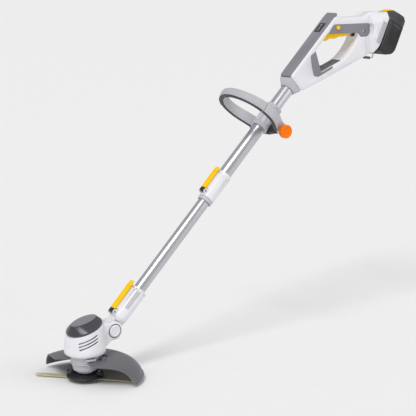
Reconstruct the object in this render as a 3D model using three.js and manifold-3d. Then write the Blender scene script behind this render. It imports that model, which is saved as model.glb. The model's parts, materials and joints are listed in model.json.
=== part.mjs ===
// Cordless grass trimmer and lawn edger, rebuilt as separate pieces. Millimetres, +Z up.
// The origin is the middle of the rear grip. +X points back to the battery, -X forward to the
// cutting head, -Y is the operator's left. The shaft climbs from the head at SHAFT_PITCH.
import * as THREE from 'three';
import { mergeVertices } from 'three/addons/utils/BufferGeometryUtils.js';
import Module from 'manifold-3d';

const wasm = await Module();
wasm.setup();

// ---------------------------------------------------------------- driving dimensions
const GAP = 0.3;                 // clearance between neighbouring pieces
const ROUND = 24;                // facets of a large round piece
const SMALL_ROUND = 12;          // facets of a small round piece

const SHAFT_PITCH = 44;          // degrees above the horizontal
const PIVOT_X = -630;            // head tilt pivot, seen from the rear grip
const PIVOT_Z = -587;

const UPPER_RADIUS = 14;         // upper tube, 28 mm outside
const UPPER_WALL = 1.1;
const LOWER_RADIUS = 12.5;       // lower tube, 25 mm outside
const LOWER_WALL = 1.2;
const UPPER_START = 344;         // stations along the shaft, measured from the pivot
const UPPER_END = 734;
const LOWER_START = 42;
const LOWER_END = 430;
const MOUTH = 668;               // where the tube enters the handle

const MID_START = 342;           // middle coupling
const MID_END = 410;
const MID_RADIUS = 16.8;
const SOCKET_START = 24;         // swivel socket at the head end
const SOCKET_END = 100;
const SOCKET_RADIUS = 18;

const HANDLE_HALF = 20;          // half width of the handle shells
const HANDLE_ROUND = 5;          // edge rounding of the handle shells
const STRUT_TOP = 26;            // front strut, height above the shaft axis
const WALL = 3;                  // shell wall and depth of a pad's seat

const DOCK_X = 114;              // middle of the battery's mating face
const DOCK_Z = 5;
const DOCK_LEAN = 25.8;          // degrees the pack leans back from the vertical
const DOCK_HALF = 34;
const PACK_HALF = 37;
const PACK_SEAM = 5;             // height of the seam between pack case and pack head
const CELL_RADIUS = 9.1;
const CELL_LENGTH = 64;

const LOOP_STATION = 560;        // loop handle, station of its plane on the shaft
const LOOP_LEAN = -8.5;          // degrees the loop leans towards the head
const LOOP_SEAM = 0.27;          // share of the loop's length covered by each bare arm
const ARM_WIDTH = 25;            // band width where the loop meets the clamp
const NOSE_WIDTH = 17.5;         // band width at the front of the loop
const STRAP_INNER = 33.8;        // half width between the loop's two eyes
const BOLT_STATION = 556;        // clamp bolt, station on the shaft
const BOLT_DROP = 18.6;          // clamp bolt below the shaft axis
const CLAMP_START = 541;
const CLAMP_END = 601;
const KNOB_RADIUS = 14.5;

const SPINDLE_X = -60;           // cutter spindle, seen from the pivot
const HOUSING_RADIUS = 42;
const HOUSING_BOTTOM = -40;
const CAP_SLOPE = 20;            // degrees of the slanted joint under the motor cap
const CAP_HEIGHT = 13.7;         // height of that joint on the spindle axis
const CAP_RADIUS = 37.4;
const PLATE_HALF = [30, 19];     // half length and half width of the cap's oval top
const PLATE_LEAN = 6;            // degrees the oval top lies flatter than the joint under the cap
const COLLAR_RADIUS = 29;
const GUARD_RADIUS = 117;
const GUARD_TURN = 18;           // degrees the guard is set round towards the right
const DISC_RADIUS = 38;
const DISC_TOP = -79.5;
const DISC_BOTTOM = -87.5;
const LUG_RADIUS = 29;           // blade pins on the cutter disc
const LUG_TURN = -50;            // degrees of the first blade from straight back
const BLADE_REACH = 77;
const KNUCKLE_RADIUS = 19;       // tilt joint between socket and housing
const TONGUE_HALF = 8;
const CHEEK_HALF = 19;
const PIVOT_PIN_RADIUS = 4;
const SPINDLE_THREAD = 2.5;      // radius of the M5 end of the drive shaft
const BLADE_PIN_RADIUS = 2.2;
const LEVER_PIN_RADIUS = 1.8;
const CLAMP_BOLT_RADIUS = 3;
const PAD_PROUD = 0.9;           // how far a soft pad stands out of its shell
const PAD_EDGE = 1.4;

// ---------------------------------------------------------------- materials
const paint = (color, roughness, metalness = 0) =>
  new THREE.MeshStandardMaterial({ color, roughness, metalness });
const shellWhite = () => paint(0xe4e3e9, 0.42);
const softGrey = () => paint(0x84838a, 0.75);
const paleGrey = () => paint(0xb4b3b9, 0.55);
const darkGrey = () => paint(0x67666c, 0.6);
const capGrey = () => paint(0x4a4a50, 0.4);
const blackPlastic = () => paint(0x222226, 0.55);
const packBlack = () => paint(0x2f2f34, 0.5);
const yellow = () => paint(0xffc414, 0.4);
const orange = () => paint(0xff7f0c, 0.38);
const aluminium = () => paint(0xa9aab0, 0.35, 0.85);
const steel = () => paint(0x8c8e94, 0.3, 0.9);
const brass = () => paint(0xc09a4a, 0.35, 0.9);
const boardGreen = () => paint(0x1f5a38, 0.6);
const bladeAmber = () => paint(0xd9b64a, 0.35);

// ---------------------------------------------------------------- solids
const rad = THREE.MathUtils.degToRad;
const SIDES = [-1, 1];             // operator's left, operator's right

function solidOf(geometry) {
  const bare = geometry.clone();
  bare.deleteAttribute('normal');
  bare.deleteAttribute('uv');
  const merged = mergeVertices(bare, 1e-4);
  const position = merged.getAttribute('position');
  const index = merged.getIndex().array;
  const corner = [0, 1, 2].map(() => new THREE.Vector3());
  const triangles = [];
  let volume = 0;
  for (let i = 0; i < index.length; i += 3) {
    const [a, b, c] = [index[i], index[i + 1], index[i + 2]];
    if (a === b || b === c || a === c) continue;
    triangles.push([a, b, c]);
    [a, b, c].forEach((vertex, k) => corner[k].fromBufferAttribute(position, vertex));
    volume += corner[0].dot(corner[1].clone().cross(corner[2]));
  }
  const ordered = triangles.flatMap(([a, b, c]) => (volume < 0 ? [a, c, b] : [a, b, c]));
  return new wasm.Manifold(new wasm.Mesh({
    numProp: 3,
    vertProperties: new Float32Array(position.array),
    triVerts: new Uint32Array(ordered),
  }));
}

function geometryOf(solid) {
  const mesh = solid.getMesh();
  const geometry = new THREE.BufferGeometry();
  geometry.setAttribute('position', new THREE.BufferAttribute(new Float32Array(mesh.vertProperties), 3));
  geometry.setIndex(new THREE.BufferAttribute(new Uint32Array(mesh.triVerts), 1));
  geometry.computeVertexNormals();
  return geometry;
}

const join = (first, ...others) => others.reduce((sum, next) => sum.add(next), first);
const cut = (first, ...tools) => tools.reduce((rest, tool) => rest.subtract(tool), first);

function piece(parent, name, solid, material) {
  const mesh = new THREE.Mesh(geometryOf(solid), material);
  mesh.name = name;
  parent.add(mesh);
}

const wrap = (list, i) => list[(i + list.length) % list.length];
const areaOf = (points) => points.reduce((sum, [x, z], i) => {
  const [nextX, nextZ] = wrap(points, i + 1);
  return sum + (x * nextZ - z * nextX) / 2;
}, 0);

// Corner points [x, z, r] with every side moved outwards by an amount. A corner's r is the length
// of side its rounding takes up, so it shortens or grows with the move.
function grown(points, amount) {
  const side = Math.sign(areaOf(points)) * amount;
  return points.map(([x, z, r = 0], i) => {
    const [fromX, fromZ] = wrap(points, i - 1);
    const [toX, toZ] = wrap(points, i + 1);
    const before = new THREE.Vector2(x - fromX, z - fromZ).normalize();
    const after = new THREE.Vector2(toX - x, toZ - z).normalize();
    const spread = 1 + before.dot(after);
    const tangent = before.cross(after) / spread;
    const moveX = side * (before.y + after.y) / spread;
    const moveZ = side * (-before.x - after.x) / spread;
    return [x + moveX, z + moveZ, r > 0 ? Math.max(r + side * tangent, 0.05) : 0];
  });
}

// The outline's own points, running anticlockwise, with its corners rounded.
function ringOf(points, segments) {
  const ordered = areaOf(points) > 0 ? points : [...points].reverse();
  return ordered.flatMap(([x, z, r = 0], i) => {
    const corner = new THREE.Vector2(x, z);
    if (r === 0) return [corner];
    const before = new THREE.Vector2(...wrap(ordered, i - 1)).sub(corner);
    const after = new THREE.Vector2(...wrap(ordered, i + 1)).sub(corner);
    const size = Math.min(r, 0.49 * before.length(), 0.49 * after.length());
    const start = before.setLength(size).add(corner);
    const end = after.setLength(size).add(corner);
    return new THREE.QuadraticBezierCurve(start, corner, end).getPoints(segments);
  });
}

// A plate standing in the XZ plane between two Y values, with an optional hole and rounded edges.
function prism(points, from, to, edge = 0, steps = 2, hole = null, segments = 3) {
  const quarter = edge > 0 ? Array.from({ length: steps + 1 }, (_, i) => i * Math.PI / 2 / steps) : [0];
  const levels = [
    ...[...quarter].reverse().map((a) => [from + edge * (1 - Math.sin(a)), edge * (1 - Math.cos(a))]),
    ...quarter.map((a) => [to - edge * (1 - Math.sin(a)), edge * (1 - Math.cos(a))]),
  ];
  const rings = levels.map(([, inset]) => ringOf(grown(points, -inset), segments));
  const holes = levels.map(([, inset]) => (hole ? ringOf(grown(hole, inset), segments).reverse() : []));
  const perLevel = rings[0].length + holes[0].length;
  const position = levels.flatMap(([y], k) => [...rings[k], ...holes[k]].flatMap((p) => [p.x, y, p.y]));
  const index = [];
  const cap = THREE.ShapeUtils.triangulateShape(rings[0], hole ? [holes[0]] : []);
  const last = perLevel * (levels.length - 1);
  cap.forEach(([a, b, c]) => index.push(a, b, c, last + a, last + c, last + b));
  for (let k = 0; k < levels.length - 1; k += 1) {
    for (let i = 0; i < perLevel; i += 1) {
      const inRing = i < rings[0].length;
      const start = inRing ? 0 : rings[0].length;
      const length = inRing ? rings[0].length : holes[0].length;
      const low = k * perLevel + i;
      const next = k * perLevel + start + (i - start + 1) % length;
      index.push(low, low + perLevel, next, next, low + perLevel, next + perLevel);
    }
  }
  const geometry = new THREE.BufferGeometry();
  geometry.setAttribute('position', new THREE.Float32BufferAttribute(position, 3));
  geometry.setIndex(index);
  return solidOf(geometry);
}

// A block given by its lowest and highest corners.
function block(low, high) {
  const size = high.map((value, i) => value - low[i]);
  const geometry = new THREE.BoxGeometry(...size);
  geometry.translate(...low.map((value, i) => value + size[i] / 2));
  return solidOf(geometry);
}

// A piece turned about the Z axis from [radius, height] points.
function turned(profile, segments = ROUND) {
  const points = profile.map(([r, z]) => new THREE.Vector2(r, z));
  const closed = profile[0][0] > 0 ? [...points, points[0].clone()] : points;
  return solidOf(new THREE.LatheGeometry(closed, segments).rotateX(Math.PI / 2));
}

const rod = (radius, from, to, segments = SMALL_ROUND) =>
  turned([[0, from], [radius, from], [radius, to], [0, to]], segments);
const tube = (inner, outer, from, to, segments = ROUND) =>
  turned([[inner, from], [outer, from], [outer, to], [inner, to]], segments);

// A rod along Y, through the point (x, z).
const crossRod = (radius, x, z, from, to, segments = SMALL_ROUND) =>
  rod(radius, -to, -from, segments).rotate([90, 0, 0]).translate([x, 0, z]);

// A plate standing in the YZ plane between two X values.
const plateAcross = (points, from, to) => prism(points, -to, -from).rotate([0, 0, 90]);

const at = (solid, x, y, z) => solid.translate([x, y, z]);
const turnY = (solid, degrees) => solid.rotate([0, degrees, 0]);

// ---------------------------------------------------------------- frames
const edger = new THREE.Group();

const shaft = new THREE.Group();           // local Z runs up the shaft, local -X is its upper side
shaft.position.set(PIVOT_X, 0, PIVOT_Z);
shaft.rotation.y = rad(90 - SHAFT_PITCH);
edger.add(shaft);

const head = new THREE.Group();            // level, on the cutter spindle, Z measured from the pivot
head.position.set(PIVOT_X + SPINDLE_X, 0, PIVOT_Z);
edger.add(head);

const dock = new THREE.Group();            // local X leaves the dock face, local Z runs up the pack
dock.position.set(DOCK_X, 0, DOCK_Z);
dock.rotation.y = rad(DOCK_LEAN);
edger.add(dock);

const loop = new THREE.Group();            // local X crosses the loop, away from the shaft
loop.position.set(0, 0, LOOP_STATION);
loop.rotation.y = rad(LOOP_LEAN);
shaft.add(loop);

const placed = (solid, group) => {
  const turn = THREE.MathUtils.radToDeg(group.rotation.y);
  const { x, y, z } = group.position;
  return solid.rotate([0, turn, 0]).translate([x, y, z]);
};

// A point of the handle's side view from its shaft station and height above the axis.
function onShaft(station, height, r = 0) {
  const pitch = rad(SHAFT_PITCH);
  const x = PIVOT_X + station * Math.cos(pitch) - height * Math.sin(pitch);
  const z = PIVOT_Z + station * Math.sin(pitch) + height * Math.cos(pitch);
  return [x, z, r];
}

// A point of the handle's side view from its place in the dock frame.
function onDock(out, up, r = 0) {
  const lean = rad(DOCK_LEAN);
  const x = DOCK_X + out * Math.cos(lean) + up * Math.sin(lean);
  const z = DOCK_Z - out * Math.sin(lean) + up * Math.cos(lean);
  return [x, z, r];
}

// ---------------------------------------------------------------- handle outlines
const HANDLE_OUTLINE = [
  onShaft(MOUTH, STRUT_TOP, 7), onShaft(850, STRUT_TOP, 10), [-18, 18, 10], [50, 18, 8],
  [68, 28, 10], [95, 28, 10], onDock(-0.6, 9.5, 8), onDock(-0.6, -62, 9),
  [64, -68, 10], [-54, -111, 20], [-112, -130, 14], onShaft(MOUTH, -21, 9),
];
const WINDOW = [
  [-60, -17, 3], [-96, -52, 6], [-79, -100, 2], [-14, -75.5, 14], [7, -58, 10], [26, -37, 10], [33, -17, 3],
];
const DOCK_OUTLINE = [
  [56, -24, 9], [68, 28, 12], [110, 27.5, 8], onDock(-0.6, 24, 3), onDock(-0.6, -62, 9), [62, -67, 10],
];
const GRIP_PAD = [
  [-60, -17], [-46, 3, 8], [66, 3, 8], [66, -26, 18], [36, -26, 6], [33, -17],
];
const CORNER_PAD = [
  [-96.5, -53], [-112, -62, 5], [-108, -84, 4], [-102, -106, 6], [-88, -108.5, 5], [-46, -92, 3],
  [-45, -87.4, 1], [-79, -99.8, 2],
];
const STRUT_PAD = [[-76, -101.2], [-77, -98], [-17, -75.3, 3], [-13.4, -77.5]];
const STRUT_PAD_HALF = 14;

const TRIGGER_PIN = [48, -14];
const LOCK_BUTTON = [-33, -4];

// The room under the dock's sloping shoulders, seen along the handle.
function dockShoulders() {
  const section = [
    [-DOCK_HALF, -90], [DOCK_HALF, -90], [DOCK_HALF, 9, 4], [13, 30, 6], [-13, 30, 6], [-DOCK_HALF, 9, 4],
  ];
  return plateAcross(section, 0, 150);
}

function handleBody() {
  const main = prism(HANDLE_OUTLINE, -HANDLE_HALF, HANDLE_HALF, HANDLE_ROUND, 2, WINDOW);
  const flare = prism(DOCK_OUTLINE, -DOCK_HALF, DOCK_HALF, HANDLE_ROUND, 2);
  return join(main, flare.intersect(dockShoulders()));
}

function handleCavities() {
  const inside = HANDLE_HALF - 2 * WALL;
  const spine = prism([[-46, -12], [-31, 13, 4], [60, 13], [60, -12]], -inside, inside);
  const rear = prism([
    [40, -12], [36, -36, 6], [20, -56, 6], [58, -50, 6], [82, -44, 4], [102, -4, 4], [92, 10, 4], [44, 10],
  ], -inside, inside);
  const belly = prism([
    [-76, -111, 2], [-78, -106.5, 2], [-14, -82.3, 4], [14, -70, 4], [36, -57], [40, -70, 4], [-54, -106.5, 6],
  ], -inside, inside);
  const triggerSlot = prism([
    onShaft(772, 4), onShaft(790, 18, 2), onShaft(812, 18, 2), [-44, -1.5], [36, -4], [58, -4, 4],
    [58, -26, 4], [30, -28], [30, -17], [-44, -20],
  ], -7.5, 7.5);
  return [spine, rear, belly, triggerSlot];
}

function dockOpening() {
  return placed(block([-12, -25, -58], [4, 25, 2]), dock);
}

function buildHandle() {
  const bore = placed(rod(UPPER_RADIUS + GAP, 600, UPPER_END + GAP, ROUND), shaft);
  const padDepth = HANDLE_HALF - WALL - GAP;
  const reach = HANDLE_HALF + 12;
  const padSeats = [GRIP_PAD, CORNER_PAD].flatMap((pad) => [
    prism(grown(pad, GAP), -reach, -padDepth),
    prism(grown(pad, GAP), padDepth, reach),
  ]);
  const padGroove = prism(grown(STRUT_PAD, GAP), -STRUT_PAD_HALF - GAP, STRUT_PAD_HALF + GAP);
  const stripGroove = placed(block([-60, -16.3, MOUTH - 20], [-22 + GAP, 16.3, 900]), shaft);
  const buttonHole = crossRod(5, ...LOCK_BUTTON, -40, -10);
  const pinHole = crossRod(2 + GAP, ...TRIGGER_PIN, -16.5, 16.5);
  const recess = [crossRod(5, ...TRIGGER_PIN, -40, -16.6), crossRod(5, ...TRIGGER_PIN, 16.6, 40)];
  const shell = cut(
    join(handleBody(), ...hookEars()), ...handleCavities(), dockOpening(), bore, ...padSeats,
    padGroove, stripGroove, buttonHole, pinHole, ...recess,
    ...trimGrooves(), ...screwHoles(),
  );
  const half = 400;
  const left = block([-half, -half, -half], [half, -GAP / 2, half]);
  const right = block([-half, GAP / 2, -half], [half, half, half]);
  piece(edger, 'handle_shell_left', shell.intersect(left), shellWhite());
  piece(edger, 'handle_shell_right', shell.intersect(right), shellWhite());
}

function buildHandlePads() {
  const depth = HANDLE_HALF - WALL;
  const proud = HANDLE_HALF + PAD_PROUD;
  const buttonHole = crossRod(5, ...LOCK_BUTTON, -40, 0);
  const recess = crossRod(5, ...TRIGGER_PIN, -40, 40);
  const gripLeft = prism(GRIP_PAD, -proud, -depth, PAD_EDGE, 1);
  const gripRight = prism(GRIP_PAD, depth, proud, PAD_EDGE, 1);
  piece(edger, 'grip_pad_left', cut(gripLeft, buttonHole, recess), softGrey());
  piece(edger, 'grip_pad_right', cut(gripRight, recess), softGrey());
  piece(edger, 'corner_pad_left', prism(CORNER_PAD, -proud, -depth, PAD_EDGE, 1), softGrey());
  piece(edger, 'corner_pad_right', prism(CORNER_PAD, depth, proud, PAD_EDGE, 1), softGrey());
  const band = prism(STRUT_PAD, -STRUT_PAD_HALF, STRUT_PAD_HALF, 0.6, 1);
  piece(edger, 'strut_pad', band, darkGrey());
  buildFrontStrip();
}

function buildFrontStrip() {
  const top = [
    [-22, MOUTH + 0.5], [-28, MOUTH + 0.5, 3], [-29, MOUTH + 14, 5], [-29.4, 842, 8], [-28, 857, 8],
    [-22, 861, 1],
  ];
  const panelFrom = 797;
  const panelTo = 823;
  const plan = plateAcross([[-17, MOUTH - 9], [17, MOUTH - 9], [17, 861.5, 14], [-17, 861.5, 14]], -60, 0);
  const strip = prism(top, -16, 16, 2.6, 2).intersect(plan);
  const pocket = block([-40, -9.3, panelFrom - GAP], [-27, 9.3, panelTo + GAP]);
  piece(shaft, 'front_strip', cut(strip, pocket), softGrey());
  const panel = prism([
    [-27 - GAP, panelFrom], [-29.6, panelFrom, 0.8], [-29.6, panelTo, 0.8], [-27 - GAP, panelTo],
  ], -9, 9, 0.8, 1);
  piece(shaft, 'display_panel', panel, blackPlastic());
}

// Ribbed trim strips on both flanks of the dock.
const TRIM = { back: -17, front: -3.5, low: -56, high: -4.5, ribs: 9, rib: 1.4 };

// A block standing on one flank, between two distances from the mid plane.
function flankBlock(side, inner, outer, [xLow, xHigh], [zLow, zHigh]) {
  const [low, high] = side < 0 ? [-outer, -inner] : [inner, outer];
  return block([xLow, low, zLow], [xHigh, high, zHigh]);
}

function trimGrooves() {
  const along = [TRIM.back - GAP, TRIM.front + GAP];
  const up = [TRIM.low - GAP, TRIM.high + GAP];
  const floor = DOCK_HALF - WALL - GAP;
  return SIDES.map((side) => placed(flankBlock(side, floor, 2 * DOCK_HALF, along, up), dock));
}

function buildDockTrims() {
  const pitch = (TRIM.high - TRIM.low) / TRIM.ribs;
  const face = DOCK_HALF + 0.2;
  const along = [TRIM.back, TRIM.front];
  SIDES.forEach((side) => {
    const ribs = Array.from({ length: TRIM.ribs }, (_, i) => {
      const middle = TRIM.low + (i + 0.5) * pitch;
      return flankBlock(side, face - 1, face + 1, along, [middle - TRIM.rib, middle + TRIM.rib]);
    });
    const trim = join(flankBlock(side, DOCK_HALF - WALL, face, along, [TRIM.low, TRIM.high]), ...ribs);
    piece(dock, side < 0 ? 'dock_trim_left' : 'dock_trim_right', trim, paleGrey());
  });
}

// Screws that draw the shells together, driven from the right side.
const SCREWS = [[-90, -116.5], [82, 18.5], [62, -59]];
const SCREW_SEAT = 12;
function screwHoles() {
  return SCREWS.flatMap(([x, z]) => [
    crossRod(3.6, x, z, SCREW_SEAT - GAP, 60),
    crossRod(1.8, x, z, -10, SCREW_SEAT),
  ]);
}

function buildScrews() {
  SCREWS.forEach(([x, z], i) => {
    const shank = crossRod(1.5, x, z, -9.5, SCREW_SEAT + 1, 10);
    const top = crossRod(3.2, x, z, SCREW_SEAT, SCREW_SEAT + 2.4);
    const slot = block([x - 0.5, SCREW_SEAT + 1.4, z - 4], [x + 0.5, SCREW_SEAT + 4, z + 4]);
    piece(edger, `shell_screw_${i + 1}`, cut(join(shank, top), slot), steel());
  });
}

// ---------------------------------------------------------------- trigger group
function buildTrigger() {
  const fingers = [
    [-60, -20, 3], [-61.5, -28, 5], [-55, -34, 6], [-42, -27.5, 8], [-27, -29.5, 7], [-13, -24.5, 7],
    [1, -25.5, 7], [20, -19, 6], [44, -18, 2], [51.5, -18, 3], [51.5, -10, 3], [44, -9.5], [-40, -9.5, 6],
  ];
  const bar = prism(fingers, -6.8, 6.8, 1.6, 1);
  piece(edger, 'trigger', cut(bar, crossRod(2 + GAP, ...TRIGGER_PIN, -20, 20)), yellow());
  piece(edger, 'trigger_pin', crossRod(2, ...TRIGGER_PIN, -16, 16), steel());
  const button = join(crossRod(4.6, ...LOCK_BUTTON, -23.8, -12), crossRod(6, ...LOCK_BUTTON, -13.6, -11.2));
  piece(edger, 'lock_off_button', button, yellow());
  const body = block([-2, -6.5, -4], [26, 6.5, 11]);
  const plunger = block([6, -2.5, -6.2], [11, 2.5, -3.5]);
  piece(edger, 'power_switch', join(body, plunger), blackPlastic());
}

// ---------------------------------------------------------------- dock and electronics
function buildDock() {
  const plate = block([-11, -24.5, -57.5], [-0.9, 24.5, 1.5]);
  const hollow = block([-20, -20, -53], [-3.5, 20, -3]);
  const stem = block([-1, -17.5, -52], [4, 17.5, -2]);
  const flange = block([3.9, -22.5, -52], [6.6, 22.5, -2]);
  const mouth = block([-10, -10, -40], [12, 10, -14]);
  piece(dock, 'dock_plate', cut(join(plate, stem, flange), hollow, mouth), blackPlastic());
  const base = block([-3, -9.6, -39.6], [1.5, 9.6, -14.4]);
  const contacts = [-6, 0, 6].map((y) => block([-8, y - 0.7, -36], [8, y + 0.7, -18]));
  piece(dock, 'terminal_block', join(base, ...contacts), brass());
  const board = prism([[-72, -109.5], [-71.2, -107.4], [32.4, -67.5], [33, -69.6]], -13, 13);
  const chip = prism([[-50, -100.5], [-51, -97.8], [-22, -86.8], [-21, -89.5]], -8, 8);
  piece(edger, 'control_board', join(board, chip), boardGreen());
}

// ---------------------------------------------------------------- battery pack
const PACK_OUTLINE = [
  [0.3, -69, 4], [20, -72, 6], [40, -62, 6], [46, -50, 6], [46, PACK_SEAM + 20], [0.3, PACK_SEAM + 20],
];
const HEAD_TOP = 38;               // crown of the pack head above the middle of the mating face
const LATCH_HALF = 8.5;

// The pack head: full width at the back, its front corners cut away towards a narrow crown.
function headSolid() {
  const { hull } = wasm.Manifold;
  const low = PACK_SEAM + GAP / 2;
  const slab = (out, half, top) => block([out, -half, low], [out + 1, half, top]);
  return hull([
    slab(0.3, PACK_HALF - 1, low + 1), slab(0.3, 13, 25), slab(2, PACK_HALF, low + 1),
    slab(26, PACK_HALF, 20), slab(25, 30, 31), slab(23, 10, HEAD_TOP),
    slab(42, PACK_HALF - 1, 22), slab(42, 29, 31), slab(39, 10, HEAD_TOP - 1.5), slab(45, PACK_HALF - 2.5, 18),
    slab(45, 28, 27), slab(45, 10, 31),
  ]);
}

function buildBattery() {
  const body = prism(PACK_OUTLINE, -PACK_HALF, PACK_HALF, 3.5, 2);
  const below = block([-60, -60, -120], [80, 60, PACK_SEAM - GAP / 2]);
  const channel = join(
    block([-1, -18.2, -90], [4.2, 18.2, 0]),
    block([3.3, -23.2, -90], [7.3, 23.2, 0]),
    block([7, -10.5, -90], [9, 10.5, -12]),
  );
  const cells = block([10.2, -34, -62], [43, 34, PACK_SEAM + 1]);
  piece(dock, 'battery_case', cut(body.intersect(below), channel, cells), packBlack());
  const press = block([3.4, -LATCH_HALF - 0.4, 16], [20.6, LATCH_HALF + 0.4, 60]);
  const hollow = block([10.2, -30, PACK_SEAM - 1], [40, 30, 12]);
  piece(dock, 'battery_head', cut(headSolid(), press, hollow), packBlack());
  buildCells();
  const latch = prism([
    [4, 18.8], [4, 29, 1.5], [9, 33.5, 3], [17, 37.6, 3], [20, 37, 1.5], [20, 18.8],
  ], -LATCH_HALF, LATCH_HALF, 1.6, 1);
  piece(dock, 'battery_latch', latch, yellow());
}

function buildCells() {
  const pitch = 2 * CELL_RADIUS + 0.4;
  const rows = [[33.6, [-51.5, -51.5 + pitch, -51.5 + 2 * pitch]], [19.6, [-42.2, -42.2 + pitch]]];
  const half = CELL_LENGTH / 2;
  const cells = rows.flatMap(([out, heights]) =>
    heights.map((up) => crossRod(CELL_RADIUS, out, up, -half, half, 14)));
  const tabs = [-1, 1].map((side) => {
    const y = side * half;
    return block([18, Math.min(y, y - side * 0.6), -54], [36, Math.max(y, y + side * 0.6), -12]);
  });
  piece(dock, 'cell_pack', join(...cells, ...tabs), paint(0x2f6f9a, 0.5));
}

const HOOK = [78, -60.5];
const HOOK_WIRE = 1.3;
const HOOK_HALF = 20;
const HOOK_DROP = 15;
const EAR_HALF = 17;

// Ears under the dock that carry the hanging hook.
function hookEars() {
  const [x, z] = HOOK;
  return [-EAR_HALF, EAR_HALF - 4].map((from) => {
    const outline = [[x - 7, z - 1, 3], [x, z - 4, 4], [x + 4, z, 3], [x + 8, z + 14], [x - 8, z + 4]];
    const ear = prism(outline, from, from + 4);
    return cut(ear, crossRod(HOOK_WIRE + GAP, x, z, -60, 60));
  });
}

function buildHook() {
  const hang = new THREE.Group();
  hang.position.set(HOOK[0], 0, HOOK[1]);
  edger.add(hang);
  const path = new THREE.CurvePath();
  const corner = 4;
  const points = [
    [0, HOOK_HALF - 1.4], [0, HOOK_HALF], [-HOOK_DROP + corner, HOOK_HALF], [-HOOK_DROP, HOOK_HALF - corner],
    [-HOOK_DROP, corner - HOOK_HALF], [-HOOK_DROP + corner, -HOOK_HALF], [0, -HOOK_HALF],
  ].map(([z, y]) => new THREE.Vector3(0, y, z));
  for (let i = 2; i < points.length; i += 1) path.add(new THREE.LineCurve3(points[i - 1], points[i]));
  const wire = new THREE.Shape().absarc(0, 0, HOOK_WIRE, 0, 2 * Math.PI);
  const bail = solidOf(new THREE.ExtrudeGeometry(wire, { steps: 24, curveSegments: 3, extrudePath: path }));
  const bar = crossRod(HOOK_WIRE, 0, 0, -HOOK_HALF - 1, HOOK_HALF + 1, 8);
  piece(hang, 'hook_bail', join(bail, bar), steel());
  const sleeve = tube(HOOK_WIRE + GAP, 3, -9, 9, 12).rotate([90, 0, 0]);
  piece(hang, 'hook_sleeve', at(sleeve, 0, 0, -HOOK_DROP), blackPlastic());
}

// ---------------------------------------------------------------- tubes and couplings
function buildTubes() {
  const upper = tube(UPPER_RADIUS - UPPER_WALL, UPPER_RADIUS, UPPER_START, UPPER_END);
  piece(shaft, 'upper_tube', upper, aluminium());
  const lower = tube(LOWER_RADIUS - LOWER_WALL, LOWER_RADIUS, LOWER_START, LOWER_END);
  piece(shaft, 'lower_tube', lower, aluminium());
  piece(shaft, 'tube_collar', collarSolid(), paleGrey());
}

// The flared collar between the tube and the handle's taller mouth.
function collarSolid() {
  const nose = rod(UPPER_RADIUS + 2.6, 652, 654, ROUND);
  const mouth = [[-24, -1], [19, -1], [19, 0], [-24, 0]].map(([x, z]) => [x, z + MOUTH - 0.6]);
  const flange = prism(mouth, -17, 17, 0);
  const bore = rod(UPPER_RADIUS + GAP, 600, 700, ROUND);
  return cut(wasm.Manifold.hull([nose, flange]), bore);
}

// A flip lever lying along the shaft. Its pin is at the local origin, its tip up the shaft.
function leverSolid(length) {
  const half = LEVER_HALF;
  const side = [
    [1.4, -3.4, 2], [-3.4, -3.4, 2.5], [-4.6, 8, 4], [-5.4, length - 12, 8], [-4.4, length, 2],
    [-1.6, length, 1], [-1.2, length - 9, 4], [0.4, 8, 3], [2.8, 3, 1.5],
  ];
  return cut(prism(side, -half, half, 1.4, 1), crossRod(LEVER_PIN_RADIUS + GAP, 0, 0, -20, 20));
}

// The two ears that carry a lever's pin, with the saddle under the lever.
function saddle(pinStation, pinHeight, length) {
  const half = LEVER_HALF;
  const bed = block([-pinHeight + 0.9, -half + 1, pinStation + 9], [-6, half - 1, pinStation + length - 8]);
  const outline = [
    [-6, pinStation - 7], [-pinHeight - 3.4, pinStation - 4, 4], [-pinHeight - 3.4, pinStation + 4, 4],
    [-6, pinStation + 12],
  ];
  const [inner, outer] = [half + 0.5, half + 3.1];
  return join(bed, prism(outline, -outer, -inner), prism(outline, inner, outer));
}

const MID_PIN = [350, 21];
const LOW_PIN = [30, 22.5];
const LEVER_HALF = 6.6;

function buildLever(name, [station, height], length) {
  const group = new THREE.Group();
  group.position.set(-height, 0, station);
  shaft.add(group);
  piece(group, `${name}_lever`, leverSolid(length), yellow());
  const pin = crossRod(LEVER_PIN_RADIUS, 0, 0, -LEVER_HALF - 3.6, LEVER_HALF + 3.6);
  piece(group, `${name}_lever_pin`, pin, steel());
}

function pinHoles([station, height]) {
  return crossRod(LEVER_PIN_RADIUS + GAP, -height, station, -30, 30);
}

function buildMiddleCoupling() {
  const sleeve = turned([
    [0, MID_START], [MID_RADIUS - 1, MID_START], [MID_RADIUS, MID_START + 2], [MID_RADIUS, MID_END - 3],
    [MID_RADIUS - 1.5, MID_END], [0, MID_END],
  ]);
  const bore = rod(UPPER_RADIUS + GAP, MID_START - 1, MID_END + 1, ROUND);
  const body = cut(join(sleeve, saddle(...MID_PIN, 62)), bore, pinHoles(MID_PIN));
  piece(shaft, 'mid_coupling', body, shellWhite());
  const ring = turned([
    [LOWER_RADIUS + GAP, MID_START - 8], [15, MID_START - 8], [16, MID_START - 6], [16, MID_START - GAP],
    [LOWER_RADIUS + GAP, MID_START - GAP],
  ]);
  piece(shaft, 'mid_ring', ring, paleGrey());
  buildLever('mid', MID_PIN, 60);
}

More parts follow.
